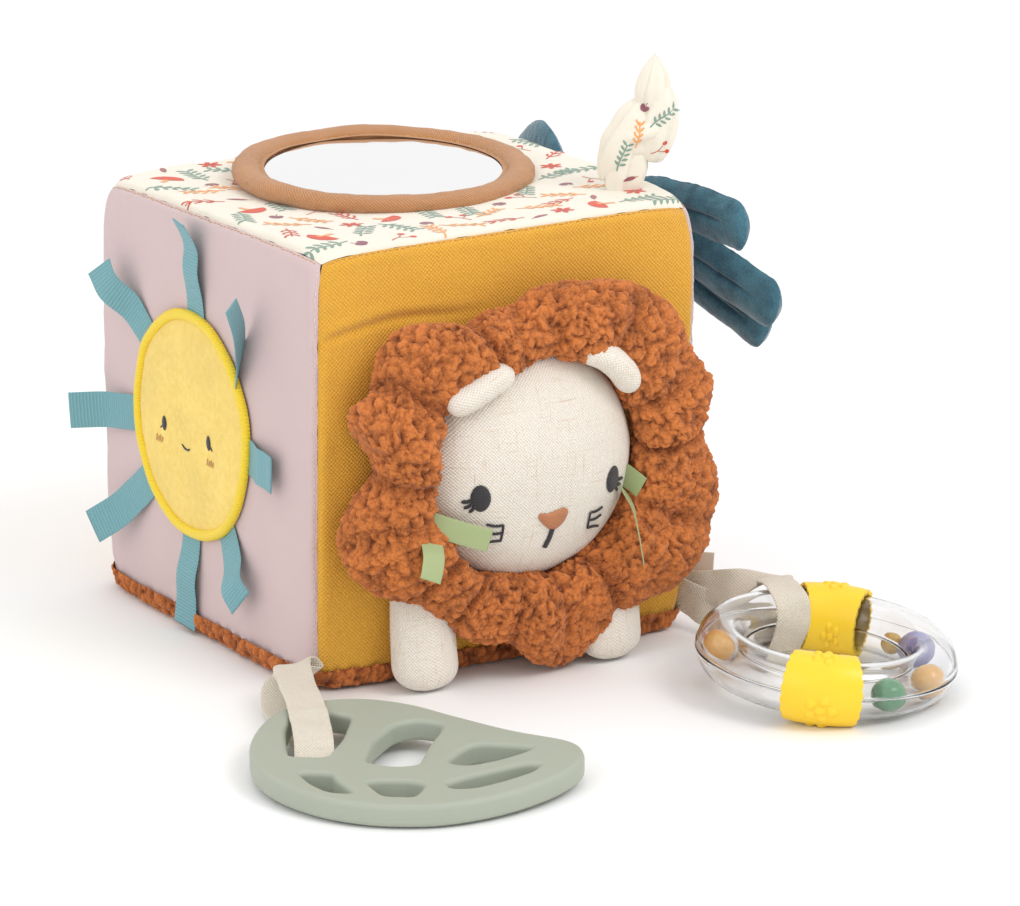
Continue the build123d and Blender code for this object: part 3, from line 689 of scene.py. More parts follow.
def motif(kind, size):
    """Outlines and ink of one small printed plant, about its own middle."""
    shapes, lines = [], []
    if kind == "sprig":
        lines.append(([(-0.5, 0), (-0.1, 0.04), (0.5, 0)], 0.05, SAGE))
        for k in range(5):
            x = -0.3 + 0.19 * k
            for side in (-1, 1):
                shapes.append((oval(0.24, 0.09, 12, side * 1.0) + (x + 0.08, side * 0.11), SAGE))
    elif kind == "fern":
        lines.append(([(-0.5, 0), (0, -0.05), (0.5, 0.02)], 0.05, PEACH))
        for k in range(4):
            x = -0.28 + 0.22 * k
            for side in (-1, 1):
                frond = [(x, 0), (x + 0.08, side * 0.09), (x + 0.18, side * 0.16)]
                lines.append((frond, 0.07, PEACH))
    elif kind == "branch":
        lines.append(([(-0.5, 0), (0, 0.03), (0.5, 0)], 0.045, RED))
        for k in range(3):
            x = -0.25 + 0.28 * k
            for side in (-1, 1):
                twig = [(x, 0), (x + 0.1, side * 0.12), (x + 0.24, side * 0.18)]
                lines.append((twig, 0.06, RED))
    elif kind == "cap":
        a = np.linspace(0.0, math.pi, 14)
        dome = np.stack([0.42 * np.cos(a), 0.32 * np.sin(a)], 1)
        shapes.append((np.vstack([dome, [(-0.2, -0.04), (0.0, -0.07), (0.2, -0.04)]]), RED))
        shapes.append((oval(0.16, 0.14, 10) + (0.1, 0.02), PEACH))
        lines.append(([(0.0, -0.05), (0.02, -0.2), (-0.02, -0.34)], 0.12, PEACH))
    elif kind == "berries":
        lines.append(([(-0.4, -0.1), (0.0, 0.0), (0.3, 0.2)], 0.04, RUST))
        lines.append(([(0.0, 0.0), (0.2, -0.16), (0.34, -0.18)], 0.04, RUST))
        shapes.append((oval(0.24, 0.24, 12, point=0) + (0.4, 0.27), RED))
        shapes.append((oval(0.22, 0.22, 12, point=0) + (0.42, -0.2), RED))
    elif kind == "flower":
        for k in range(6):
            shapes.append((turn(oval(0.4, 0.2, 12) + (0.26, 0), k * TAU / 6), RED))
        shapes.append((oval(0.16, 0.16, 10, point=0), PLUM))
    elif kind == "plum":
        for side in (-1, 1):
            shapes.append((oval(0.52, 0.34, 14, side * 0.35, 0.4) + (0.0, side * 0.12), PLUM))
        lines.append(([(0.2, 0), (0.34, 0.04), (0.46, 0.02)], 0.05, PLUM))
    elif kind == "feather":
        shapes.append((oval(0.8, 0.24, 16), PLUM))
        lines.append(([(-0.36, 0), (0, 0.02), (0.52, 0)], 0.04, RUST))
    return (
        [(p * size, ink) for p, ink in shapes],
        [(np.array(p) * size, w * size, ink) for p, w, ink in lines],
    )


MOTIFS = (
    "sprig", "flower", "fern", "plum", "cap", "branch", "berries", "sprig", "feather", "fern",
)
MOTIF_SIZES = {
    "sprig": 13, "fern": 12, "branch": 11, "cap": 11.5,
    "berries": 9, "flower": 7.5, "plum": 6.5, "feather": 7.5,
}


def print_pattern(batch, place, spots, scale=1.15):
    """Prints one motif at each spot (u, v, angle, number), through place."""
    for u, v, angle, number in spots:
        kind = MOTIFS[number % len(MOTIFS)]
        shapes, lines = motif(kind, MOTIF_SIZES[kind] * scale)
        move = lambda p: turn(p, angle) + (u, v)
        for outline, ink in shapes:
            batch.patch(move(outline), place, ink, 0.0, 3)
        for line, width, ink in lines:
            batch.stroke(move(line), width, place, ink, 0.02, False)


def scatter(step, half, seed):
    """A loose brick layout of spots over a square of cloth."""
    draw = np.random.default_rng(seed)
    spots, number = [], 0
    for row, v in enumerate(np.arange(-half, half + 0.1, step)):
        for u in np.arange(-half + (row % 2) * step / 2, half + 0.1, step):
            du, dv = draw.uniform(-0.2, 0.2, 2) * step
            spots.append((u + du, v + dv, draw.uniform(0, TAU), number * 3 + row))
            number += 1
    return spots


PRINT_STEP, PRINT_HALF = 12.4, 62.0
BARE_X, BARE_Y, BARE_R = 3.5, 15.0, 47.0  # the mirror ring hides this much of the cloth
printed = Batch()
on_top = lambda u, v, rise: skin("panel_top", u, v, 0.1 + rise)
print_pattern(
    printed, on_top,
    [
        q for q in scatter(PRINT_STEP, PRINT_HALF, 5)
        if math.hypot(q[0] - BARE_X, q[1] - BARE_Y) > BARE_R
    ],
)
top_print = printed.make("top_print", PRINT_INKS)
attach(top_print, "cube")

# === sun ===
SUN = (3.4, 69.9)
SUN_R = 37.2
BORDER_HALF = 1.75
RAY_ROOT_R = 34.5  # the rays are sewn in under the border
RAY_WIDTH = 12.0
RAY_STEPS = 40


def sun_side(r, lift):
    """The left panel under the sun: r = (towards the front, up) from the sun's middle."""
    u, v = r
    return skin("panel_left", u - SUN[0], v + SUN[1] - HALF, lift)


rho, ang = disc(60, 160)
radius = (SUN_R - 2.0) * rho
lift = 0.9 + 1.3 * np.sqrt(np.clip(1 - rho**8, 0, 1))
u, v = radius * np.cos(ang), radius * np.sin(ang)
points = sun_side((u, v), lift)
points[..., 0] -= 0.22 * noise(points, 9.0, 2) + 0.12 * noise(points, 2.2, 6)
sun = grid("sun_disc", points, fleece, wrap=(False, True), depth=0.5 + 0.4 * noise(points, 1.2, 9))
claim(sun, "sun_disc")

a = turns(720)
sec = np.linspace(-0.15 * math.pi, 1.15 * math.pi, 15)  # the part of the cord above the cloth
tooth = 0.16 * swell(np.sin(a * 200), 0.5)
wander = 0.45 * noise(np.stack([np.cos(a) * 30, np.sin(a) * 30, 0 * a], 1), 9.0, 21)
rr = SUN_R - 1.6 + (BORDER_HALF + tooth[:, None]) * np.cos(sec)[None] + wander[:, None]
points = sun_side((rr * np.cos(a)[:, None], rr * np.sin(a)[:, None]), 1.4 + 1.5 * np.sin(sec))
border = grid("sun_border", points, satin_yellow, wrap=(True, False))
claim(border, "sun_border")

face = Batch()
on_sun = lambda u, v, rise: sun_side((u, v), 2.35 + rise)
for x, y in ((-15.7, -2.6), (13.2, -2.6)):
    face.patch(oval(5.0, 2.7, 16, math.pi / 2, 0.3) + (x, y), on_sun, 0, 0.35)
face.stroke([(-4.2, -6.9), (-2.4, -7.9), (-0.6, -8.1), (1.2, -7.4)], 0.75, on_sun, 0, 0.3)
face.stroke([(-16.6, -3.4), (-18.2, -4.6)], 0.5, on_sun, 0, 0.2)
face.stroke([(14.2, -3.4), (15.6, -4.8)], 0.5, on_sun, 0, 0.2)
for x, y in ((-19.0, -8.2), (13.9, -9.0)):
    for k in range(4):
        dash = [(x - 2 + 1.2 * k, y - 1.2), (x - 1.4 + 1.2 * k, y + 1.2 - 0.5 * (k % 2))]
        face.stroke(dash, 0.55, on_sun, 1, 0.22)
sun_face = face.make("sun_face_stitches", [black_thread, blush_thread])
claim(sun_face, "sun_face_stitches")

# name: direction from the front towards the top, reach, then lift at root, middle and tip, the
# sideways drift and the twist of the width at the tip in degrees, and the width's shrink
RAYS = {
    "top": (87, 67.5, (1.6, 2.4, 6.3), -1.0, 6, 0.92),
    "back_upper": (142, 64.5, (1.8, 7.8, 9.0), 5.0, -14, 1.0),
    "back": (187, 63.5, (1.8, 5.0, 13.5), 0.0, 0, 1.0),
    "back_lower": (220, 68.5, (1.8, 5.2, 11.5), -1.5, 6, 1.0),
    "bottom": (266.5, 68.5, (1.6, 2.0, 2.4), 1.0, 10, 0.95),
    "front_lower": (305, 62.0, (1.6, 5.6, 5.0), -4.0, 16, 0.95),
    "front": (357, 56.0, (1.6, 2.4, 3.0), 0.0, 0, 1.0),
    "front_upper": (40, 65.0, (2.2, 5.6, 9.5), -10.0, 47, 0.6),
}
for name, (angle, reach, lifts, drift, twist, shrink) in RAYS.items():
    a = math.radians(angle)
    out = np.array([0, -math.cos(a), math.sin(a)])
    side = np.array([0, -math.sin(a), -math.cos(a)])
    k = np.linspace(0, 1, RAY_STEPS)
    root = RAY_ROOT_R * np.array([math.cos(a), math.sin(a)])
    heights = [0.3, 1.0, lifts[0] + 0.9, lifts[1], lifts[2]]
    lift = smooth([[h] for h in heights], RAY_STEPS)
    centre = (
        sun_side(root, 0.0)
        + out * ((reach - RAY_ROOT_R) * k)[:, None]
        + side * (drift * k**2)[:, None]
        - np.array([1.0, 0, 0]) * lift
    )
    turn_by = np.radians(twist) * (k**0.3 if twist > 30 else k**1.3)
    across = side * np.cos(turn_by)[:, None] - np.array([1.0, 0, 0]) * np.sin(turn_by)[:, None]
    width = RAY_WIDTH * (1 - (1 - shrink) * k)
    ray = ribbon(f"sun_ray_{name}", centre, across, width, 0.55, teal_ribbon)
    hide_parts(f"sun_ray_{name}")
    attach(ray, f"sun_ray_{name}")

# === mirror ===
MIRROR = np.array([2.7, 15.4])
RING_LINE_R = 44.8
RING_LINE_Z = 144.3
RING_TUBE_R = 4.75
RING_SQUASH = 0.68
MIRROR_R = 41.5
TIP_BACK = 2.8  # the far side of the ring stands this much higher than its middle
FACING = (38.9, 42.5)  # the cloth between the ring and the mirror, from and to this radius
RING_STEPS = 420


def on_mirror(radius, angle, z):
    """A point round the mirror's middle."""
    x, y, z = np.broadcast_arrays(radius * np.cos(angle), radius * np.sin(angle), z)
    return np.stack([MIRROR[0] + x, MIRROR[1] + y, z], -1)


def tip(angle):
    """How far the mirror and its ring lean up at an angle."""
    return TIP_BACK * np.cos(angle - 1.04) + 0.7 * np.cos(angle - 2.9)


def cloth_uv(across, along):
    return np.stack(np.meshgrid(across, along, indexing="xy"), -1)


a = turns(RING_STEPS)
circle = on_mirror(RING_LINE_R, a, 0.0)
tilt = RING_LINE_Z + tip(a) + 0.5 * noise(circle, 22.0, 31)
circle[:, 2] = tilt
sec = turns(40)
tube_r = RING_TUBE_R + 0.22 * noise(circle, 7.0, 33) + 0.2 * noise(circle, 3.0, 34)
out = np.stack([np.cos(a), np.sin(a), 0 * a], 1)
points = (
    circle[:, None]
    + out[:, None] * (tube_r[:, None] * np.cos(sec))[..., None]
    + np.array([0, 0, RING_SQUASH]) * (tube_r[:, None] * np.sin(sec))[..., None]
)
points += out[:, None] * (0.25 * noise(points * np.array([1, 1, 3]), 3.4, 35))[..., None]
uv = cloth_uv(
    np.linspace(0, TAU * RING_TUBE_R, 41), np.linspace(0, TAU * RING_LINE_R, RING_STEPS + 1)
)
ring = grid("mirror_ring_cover", points, camel, uv, (True, True))
claim(ring, "mirror_ring_cover", also=("mirror_ring_filler",))

rho, ang = disc(50, 140)
points = on_mirror(MIRROR_R * rho, ang, 144.5 + 0.35 * (1 - rho**2) + rho * tip(ang))
glass = grid("mirror_sheet", points, mirror, wrap=(False, True))
claim(glass, "mirror_sheet")

r_in = np.linspace(*FACING, 8)
swelling = 0.25 * np.sin((r_in - FACING[0]) * 1.4)
points = on_mirror(r_in, a[:, None], tilt[:, None] + 0.75 + swelling)
uv = cloth_uv(r_in, np.linspace(0, TAU * 40, RING_STEPS + 1))
facing = grid("mirror_ring_facing", points, camel, uv, (True, False))
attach(facing, "cube")
edge_stitches = Batch()
on_facing = lambda r, q, rise: on_mirror(
    r, q, np.interp(np.mod(q, TAU), a, tilt) + 1.0 + rise
)
for k in np.arange(0, TAU, 2.6 / 40.0):
    stitch = np.stack([np.full(3, 40.3), k + np.array([0, 0.016, 0.032])], 1)
    edge_stitches.stroke(stitch, 0.3, on_facing, 0, 0.22)
mirror_stitches = edge_stitches.make("mirror_ring_stitches", [gold_thread])
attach(mirror_stitches, "cube")

# === lion ===
HEAD = np.array([0.0, 69.0])
HEAD_R = 38.0
HEAD_WALL, HEAD_DOME = 8.0, 20.0  # the head stands straight off the cube, then closes in a dome
DOME_SHARE = 0.82  # of the rows of its mesh
HEAD_ROWS, HEAD_SIDES = 110, 220


def on_head(u, v, rise):
    """A point on the dome, at x = u and z = v."""
    x, z = np.asarray(u, float) - HEAD[0], np.asarray(v, float) - HEAD[1]
    dome = HEAD_DOME * (1 - np.clip((x**2 + z**2) / HEAD_R**2, 0, 0.9999)) ** 0.5
    p = np.stack([x + HEAD[0], -HALF - HEAD_WALL - dome, z + HEAD[1]], -1)
    return p + unit(np.stack([x * 0.53, -dome * 1.9 - 0.5, z * 0.53], -1)) * (0.25 + rise)


k = np.linspace(0, 1, HEAD_ROWS)
arc = np.minimum(k / DOME_SHARE, 1) * math.pi / 2
fall = climb(k, DOME_SHARE, 1)
profile_r = HEAD_R * np.sin(arc) - 4.0 * fall**1.5
profile_d = (HEAD_DOME * np.cos(arc) + HEAD_WALL * (1 - fall))[:, None]
a = turns(HEAD_SIDES)
points = np.stack(
    [HEAD[0] + profile_r[:, None] * np.cos(a),
     -HALF - np.broadcast_to(profile_d, (HEAD_ROWS, HEAD_SIDES)),
     HEAD[1] + profile_r[:, None] * np.sin(a)], -1,
)
away = unit(points - np.array([HEAD[0], -HALF - 6, HEAD[1]]))
points = points + away * (0.2 * noise(points, 12.0, 41) + 0.08 * noise(points, 4.0, 42))[..., None]
uv = np.stack([points[..., 0], points[..., 2]], -1)
uv = np.concatenate([uv, uv[:, :1]], 1)
head = grid("lion_head", points, linen, uv, (False, True))
claim(head, "lion_head", also=("head_filling", "squeaker"))

EYES = ((-24.0, 63.3, -1), (24.9, 62.6, 1))
features = Batch()
for x, z, side in EYES:
    eye = oval(8.8, 5.9, 24, math.pi / 2 - side * 0.1, 0.2) + (x - side * 0.5, z)
    features.patch(eye, on_head, 0, 0.55, 6)
    for k in range(3):
        angle = math.radians(190 + 25 * k)
        end = np.array([x - side * 4.9 * math.cos(angle), z + 5.2 * math.sin(angle)])
        root = np.array([x - side * 2.0 * math.cos(angle), z + 2.6 * math.sin(angle)])
        lash = [root, (root + end) / 2 + (0, -0.3), end]
        features.stroke(lash, 1.3 - 0.1 * k, on_head, 0, 0.4)
features.stroke([(0.9, 50.6), (0.5, 47.6), (-0.5, 44.2)], 1.9, on_head, 0, 0.45, False)
for x, z, side in ((-18.6, 51.2, -1), (18.0, 50.7, 1)):
    inner, outer = x - side * 2.6, x + side * 2.6
    for dz in (-2.7, 0.0, 2.7):
        end = (outer, z + dz + 0.7 * np.sign(dz + 0.1))
        whisker = [(inner, z + dz), (x, z + dz - 0.1), end]
        features.stroke(whisker, 0.95, on_head, 0, 0.35, False)
    bar = [(inner, z - 2.9), (inner - side * 0.1, z), (inner, z + 2.9)]
    features.stroke(bar, 0.8, on_head, 0, 0.32, False)
face_stitches = features.make("lion_face_stitches", [black_thread])
claim(face_stitches, "lion_face_stitches")

nose_outline = smooth(
    [(-4.2, 56.6), (-1.6, 56.2), (1.6, 56.9), (4.6, 57.2), (6.0, 55.6),
     (5.0, 52.6), (2.4, 50.4), (-0.2, 50.6), (-3.0, 52.9), (-4.6, 55.0)],
    40, True,
)
nose = Batch()
nose.patch(nose_outline, on_head, 0, 1.0, 6)
lion_nose = nose.make("lion_nose", [tan_thread])
claim(lion_nose, "lion_nose")

# --- ears: short stuffed rolls, sewn into the head's top edge ---
EARS = {
    "lion_ear_left": [(-33.0, 92.5), (-26.5, 94.5), (-18.0, 98.5), (-11.5, 101.5)],
    "lion_ear_right": [(14.2, 105.0), (20.0, 102.0), (27.0, 96.4), (33.0, 90.2)],
}
for name, line in EARS.items():
    line = smooth(line, 60)
    k = np.linspace(-1, 1, 60)
    bow = 1 - k**2
    mid = line.mean(0)
    out = unit(mid - HEAD)
    x, z = (line + out * (1.6 * bow)[:, None]).T
    path = np.stack([x, -HALF - 19.5 - 3.2 * bow, z], 1)
    thick = 4.6 * np.clip(1 - np.abs(k) ** 6, 0.02, 1) ** 0.5
    ear = tube(name, path, thick, linen, sides=36, squash=1.05, upright=(0, -1, 0))
    claim(ear, name)

# --- mane: a gathered ruffle of sherpa ---
MANE = np.array([0.0, 65.0])
# angle and reach of the ruffle's outer edge
MANE_EDGE = [
    (2, 64), (11, 66), (24, 69), (36, 68), (50, 71.5), (62, 68), (75, 64.5), (86, 61), (95, 56),
    (104, 58), (110, 56.5), (118, 64), (127, 71), (137, 70.5), (144, 67), (149, 65), (156, 70),
    (163, 66), (170, 58), (178, 55.5), (186, 64), (196, 71.5), (206, 64), (216, 56), (226, 54),
    (240, 56), (252, 54.5), (263, 54), (272, 61), (282, 65.5), (292, 63.5), (304, 57), (313, 63.5),
    (322, 71), (332, 72.5), (341, 71), (350, 69.5), (357, 66),
]
# angles where the ruffle is drawn in to a crease
CREASES = [8, 31, 57, 80, 95, 110, 147, 176, 190, 211, 233, 262, 283, 303, 336]
CREASE_DEPTH = [1, 0.6, 0.9, 0.5, 0.4, 0.8, 1, 0.9, 0.4, 0.8, 0.8, 0.7, 0.5, 0.9, 0.6]
THETA, PHI = 1150, 270  # points along the ruffle and round its section
MANE_FRONT, MANE_BACK = 25.5, 5.0  # how far the ruffle stands off the cube
theta = turns(THETA)
deg = np.degrees(theta)
edge_angles = np.array([q[0] for q in MANE_EDGE], float)
edge_reach = np.array([q[1] for q in MANE_EDGE], float)
wrapped = np.concatenate([edge_angles - 360, edge_angles, edge_angles + 360])
reach = np.interp(deg, wrapped, np.tile(edge_reach, 3))
kernel = np.exp(-(np.linspace(-2.5, 2.5, 41) ** 2))
reach = np.convolve(np.pad(reach, 40, "wrap"), kernel / kernel.sum(), "same")[40:-40]
creases = np.array(CREASES, float)
gap_low = np.concatenate([[creases[-1] - 360], creases])
gap_high = np.concatenate([creases, [creases[0] + 360]])
puff = np.zeros(THETA)
for low_edge, high_edge in zip(gap_low, gap_high):
    inside = (deg >= low_edge) & (deg < high_edge)
    part = (deg[inside] - low_edge) / (high_edge - low_edge)
    puff[inside] = np.sin(math.pi * part) ** 0.8
gap = np.abs((deg[:, None] - creases[None] + 180) % 360 - 180)
pinch = (np.exp(-((gap / 2.6) ** 2)) * np.array(CREASE_DEPTH)).max(1)
head_off = HEAD[1] - MANE[1]
head_edge = np.sqrt(HEAD_R**2 - (head_off * np.cos(theta)) ** 2) + head_off * np.sin(theta)
inner = head_edge - 2.0 + 0.8 * pinch + 0.9 * np.sin(theta * 5 + 1)
inner -= 5.2 * np.exp(-(((deg - 92) / 20) ** 2))
inner -= 1.6 * np.exp(-(((deg - 285) / 40) ** 2))
mid_r, half_r = (reach + inner) / 2, (reach - inner) / 2 - 1.0
front = MANE_FRONT + 1.6 * puff - 2.6 * pinch + 1.0 * np.sin(theta * 7)
back = MANE_BACK - puff
phi = turns(PHI)
cs, sn = np.cos(phi), np.sin(phi)
shape_c = swell(cs, 0.9)
shape_s = swell(sn, 0.85)
radial = mid_r[:, None] + half_r[:, None] * shape_c
mid_d, half_d = (front + back) / 2, (front - back) / 2
slope = 1 - 0.22 * (shape_c + 1) * (sn > 0)
depth = mid_d[:, None] + half_d[:, None] * shape_s * slope
lean = np.radians(4.0) * np.sin(depth / 7.0 + theta[:, None] * 3)
direction = np.stack([np.cos(theta[:, None] + lean), 0 * lean, np.sin(theta[:, None] + lean)], -1)
mane_middle = np.array([MANE[0], -HALF, MANE[1]])
points = direction * radial[..., None] + mane_middle
points[..., 1] -= depth
core = np.stack([np.cos(theta) * mid_r, -mid_d, np.sin(theta) * mid_r], 1) + mane_middle
outward = unit(points - core[:, None])
lumps = 1.5 * noise(points, 15.0, 51) + 1.3 * noise(points, 7.0, 52)
points = points + outward * lumps[..., None]
bend = points + 0.9 * np.stack([noise(points, 2.6, seed) for seed in (60, 61, 62)], -1)
tuft = 0.6 * curls(bend, 3.0, 53) + 0.4 * curls(bend, 1.7, 57)
points = points + outward * (2.3 * tuft - 1.4)[..., None]
# painted shade: low between tufts and lower still in the creases, so the sherpa is darker there
valley = np.clip(tuft * (1 - 0.55 * pinch[:, None]) + 0.1, 0, 1)
mane = grid("lion_mane", points, sherpa, None, (True, True), depth=valley)
claim(mane, "lion_mane")

# --- paws ---
# name, x, how far it leans sideways and how far its foot steps forward
PAWS = (("lion_paw_left", -36.2, -0.2, 4.0), ("lion_paw_right", 31.6, -1.2, 6.5))
PAW_TOP, PAW_LENGTH, PAW_OUT = 32.0, 31.6, 8.2
for name, x, lean_x, step in PAWS:
    k = np.linspace(0, 1, 70)[:, None]
    z = PAW_TOP - PAW_LENGTH * k
    half_w = 11.2 * (1 - climb(k, 0.72, 1) ** 2.6) ** 0.5 * (1 - 0.1 * (1 - k))
    half_t = 7.2 * (1 - climb(k, 0.70, 1) ** 2.4) ** 0.5
    a = turns(64)
    cx, cy = swell(np.cos(a), 0.85), swell(np.sin(a), 0.85)
    y = -HALF - PAW_OUT - step * k**1.5 + half_t * cy
    points = np.stack([x + lean_x * k * 2 + half_w * cx, y, z + 0 * y], -1)
    away = unit(points - np.array([x, -HALF - 8, 12]))
    points = points + away * (0.35 * noise(points, 9.0, 71))[..., None]
    around = np.linspace(0, 56, 65)
    uv = cloth_uv(around, z[:, 0])
    paw = grid(name, points, linen, uv, (False, True))
    claim(paw, name, name)

# --- cheek ribbons ---
# points along each ribbon, and the direction of its width
CHEEKS = {
    "cheek_ribbon_left_upper": (
        [(-40.0, -88.5, 57.0), (-34.6, -92.0, 54.8), (-28.6, -95.2, 52.6), (-22.6, -97.6, 50.6)],
        (0.25, -0.1, 1),
    ),
    "cheek_ribbon_left_lower": (
        [(-40.4, -92.0, 52.5), (-42.4, -97.4, 48.6), (-44.2, -99.8, 45.0), (-45.6, -100.8, 42.0)],
        (1, 0, -0.15),
    ),
    "cheek_ribbon_right_upper": (
        [(32.0, -84.0, 62.5), (33.0, -88.0, 61.0), (34.0, -91.4, 59.6), (34.8, -93.6, 58.4)],
        (0.25, -0.3, 1),
    ),
    "cheek_ribbon_right_lower": (
        [(30.5, -90.0, 57.5), (29.5, -97.6, 52.5), (29.0, -102.0, 45.0), (29.4, -104.2, 36.5)],
        (0.505, 0.863, 0),
    ),
}
for name, (line, across) in CHEEKS.items():
    line = smooth(line, 40)
    width_way = np.broadcast_to(np.array(across, float), line.shape)
    claim(ribbon(name, line, width_way, 7.4, 0.35, green_ribbon), name, name)

# === palm ===
TRUNK_Y, TRUNK_FOOT, TRUNK_TALL = 12.0, 14.0, 116.0
k = np.linspace(0, 1, 120)
w = np.linspace(-1, 1, 24)
z = TRUNK_FOOT + TRUNK_TALL * k
half_w = 9.0 - 4.0 * k + 5.0 * climb(k, 0.86, 1)
half_w *= np.clip(1 - climb(k, 0.95, 1) ** 2, 0.05, 1) ** 0.5
yy = TRUNK_Y + half_w[:, None] * w
lift = 0.3 + 1.6 * (1 - w[None] ** 6) + 0.4 * np.sin(k * 60)[:, None]
points = skin("panel_right", yy, z[:, None] - HALF, lift)
trunk = grid("palm_trunk", points, brown_felt, depth=0.5 + 0.5 * noise(points, 1.5, 81))
claim(trunk, "palm_trunk")

CROWN = np.array([74.0, 12.0, 131.0])
LEAF_ROOT = 6.0  # the leaves start this far from the crown
# side, angle off the face, fall, reach, half width, droop along the length
PLUSH = {
    "front_upper": (-1, 9.0, -0.5, 85.0, 7.8, 3.0),
    "front_middle": (-1, 12.7, 14.9, 97.5, 8.0, 2.0),
    "front_lower": (-1, 16.3, 22.5, 92.0, 7.6, 0.5),
    "back_upper": (1, 12.0, 2.0, 59.0, 8.4, 9.0),
    "back_lower": (1, 14.0, 18.0, 72.0, 7.8, 1.5),
}
for name, (side, off, fall, length, half_w, droop) in PLUSH.items():
    level = np.array([math.sin(math.radians(off)), side * math.cos(math.radians(off)), 0])
    run = level * math.cos(math.radians(fall)) + np.array([0, 0, -math.sin(math.radians(fall))])
    flat = np.cross(level, (0, 0, 1.0))
    up = np.cross(flat, run)
    up = up * np.sign(up[2])
    k = np.linspace(0, 1, 150)
    d = LEAF_ROOT + (length - LEAF_ROOT) * k
    grow = np.clip((d - 2) / (length - 22), 0, 1)
    width = 2.6 + (half_w - 2.6) * np.sin(grow * math.pi / 2) ** 1.1
    width = width * np.clip(1 - climb(k, 0.93, 1) ** 3.4, 0, 1) ** 0.5
    puffed = 3.0 * np.clip(width / half_w, 0.0, 1) ** 0.7
    a = turns(96)
    cs, sn = np.cos(a), np.sin(a)
    seam = 1 - 0.25 * np.exp(-((sn / 0.12) ** 2))
    line = CROWN + run * d[:, None] + np.array([0, 0, droop]) * np.sin(k * math.pi)[:, None]
    rim = 1 + 0.05 * np.exp(-((sn / 0.08) ** 2))
    points = (
        line[:, None]
        + up * (width[:, None] * cs * rim)[..., None]
        + flat * (puffed[:, None] * sn * seam * np.clip(1.05 - 0.3 * cs**2, 0, 1))[..., None]
    )
    vein = np.exp(-((cs / 0.10) ** 2)) * (np.abs(sn) > 0.5)
    vein = vein * (climb(k, 0.12, 0.32) * climb(-k, -0.93, -0.83))[:, None]
    points = points - flat * (np.sign(sn)[None] * vein * 1.1)[..., None]
    lumps = 0.5 * noise(points, 8.0, 91) + 0.18 * noise(points, 2.0, 92)
    points = points + unit(points - line[:, None]) * lumps[..., None]
    # painted shade along the vein groove; the noise terms are random tone
    shade = 0.55 + 0.3 * noise(points, 3.0, 93) + 0.25 * noise(points, 10.0, 94) - 0.5 * vein
    leaf = grid(f"palm_leaf_{name}", points, plush, None, (False, True), depth=shade)
    claim(leaf, f"palm_leaf_{name}", f"palm_leaf_{name}")

# === knotted tag ===
KNOT_FACING = (-0.505, -0.863, 0.0)


def lobe(name, centre, axis, length, wide, deep, seed, creases, sharp):
    """One stuffed, creased lobe of the knot."""
    axis = unit(np.array(axis, float))
    side = unit(np.cross(axis, np.array(KNOT_FACING)))
    front = np.cross(side, axis)
    k = np.linspace(0.0, 1.0, 70)[:, None]
    a = turns(90)[None]
    body = np.sin(math.pi * np.clip(k, 0.005, 0.995)) ** (0.62 * sharp)
    valley = np.abs(np.sin(a * creases / 2 + seed + 1.1 * k))
    fold = 1.04 - 0.26 * (1 - valley) ** 2 + 0.06 * np.cos(a * (creases + 3) + 2 * seed + 3 * k)
    p = (
        np.array(centre, float)
        + axis * ((k - 0.5) * length)[..., None]
        + side * (wide / 2 * body * fold * np.cos(a))[..., None]
        + front * (deep / 2 * body * fold * np.sin(a))[..., None]
    )
    p = p + unit(p - np.array(centre, float)) * (0.5 * noise(p, 5.0, seed))[..., None]
    uv = cloth_uv(np.linspace(0, math.pi * wide, 91), np.linspace(0, length, 70))
    return grid(name, p, cream, uv, (False, True))


knot_parts = [
    lobe("knot_tag", (58.4, -44.8, 149.5), (0.1, -0.05, 1), 23.0, 14.0, 9.5, 3, 4, 0.5),
    lobe("knot_fold_left", (57.6, -44.6, 159.5), (9.5, -5.6, 22), 30.0, 12.0, 10.0, 5, 3, 0.7),
    lobe("knot_fold_right", (67.0, -50.4, 164.5), (2.5, -1.5, 21), 26.0, 12.5, 11.5, 8, 3, 0.6),
    lobe("knot_wrap", (63.2, -48.2, 161.5), (0.863, -0.505, 0.55), 19.0, 13.0, 12.5, 11, 2, 0.6),
    lobe("knot_tip", (65.6, -49.6, 174.6), (0.02, -0.03, 1), 25.0, 10.8, 8.5, 14, 4, 1.15),
]
knot_trees = [
    BVHTree.FromPolygons(
        [tuple(q.co) for q in o.data.vertices], [tuple(f.vertices) for f in o.data.polygons]
    )
    for o in knot_parts
]
KNOT_FOOT = np.array([62.0, -47.0, 141.0])


def on_knot(face):
    """Places print on the knot, seen from in front (face 1) or behind (-1)."""
    facing = Vector(KNOT_FACING) * face

    def place(u, v, rise):
        u, v, rise = np.broadcast_arrays(u, v, rise)
        result = []
        for x, y, r in zip(u.ravel(), v.ravel(), rise.ravel()):
            near = Vector((KNOT_FOOT + VIEW_RIGHT * x + (0, 0, y)) * MM)
            hits = [t.ray_cast(near + facing * 0.05, -facing) for t in knot_trees]
            hits = [h[0] for h in hits if h[0] is not None]
            best = max(hits, key=lambda h: h @ facing) if hits else near
            result.append(np.array(best + facing * (0.00012 + r * MM)) / MM)
        return np.array(result)

    return place


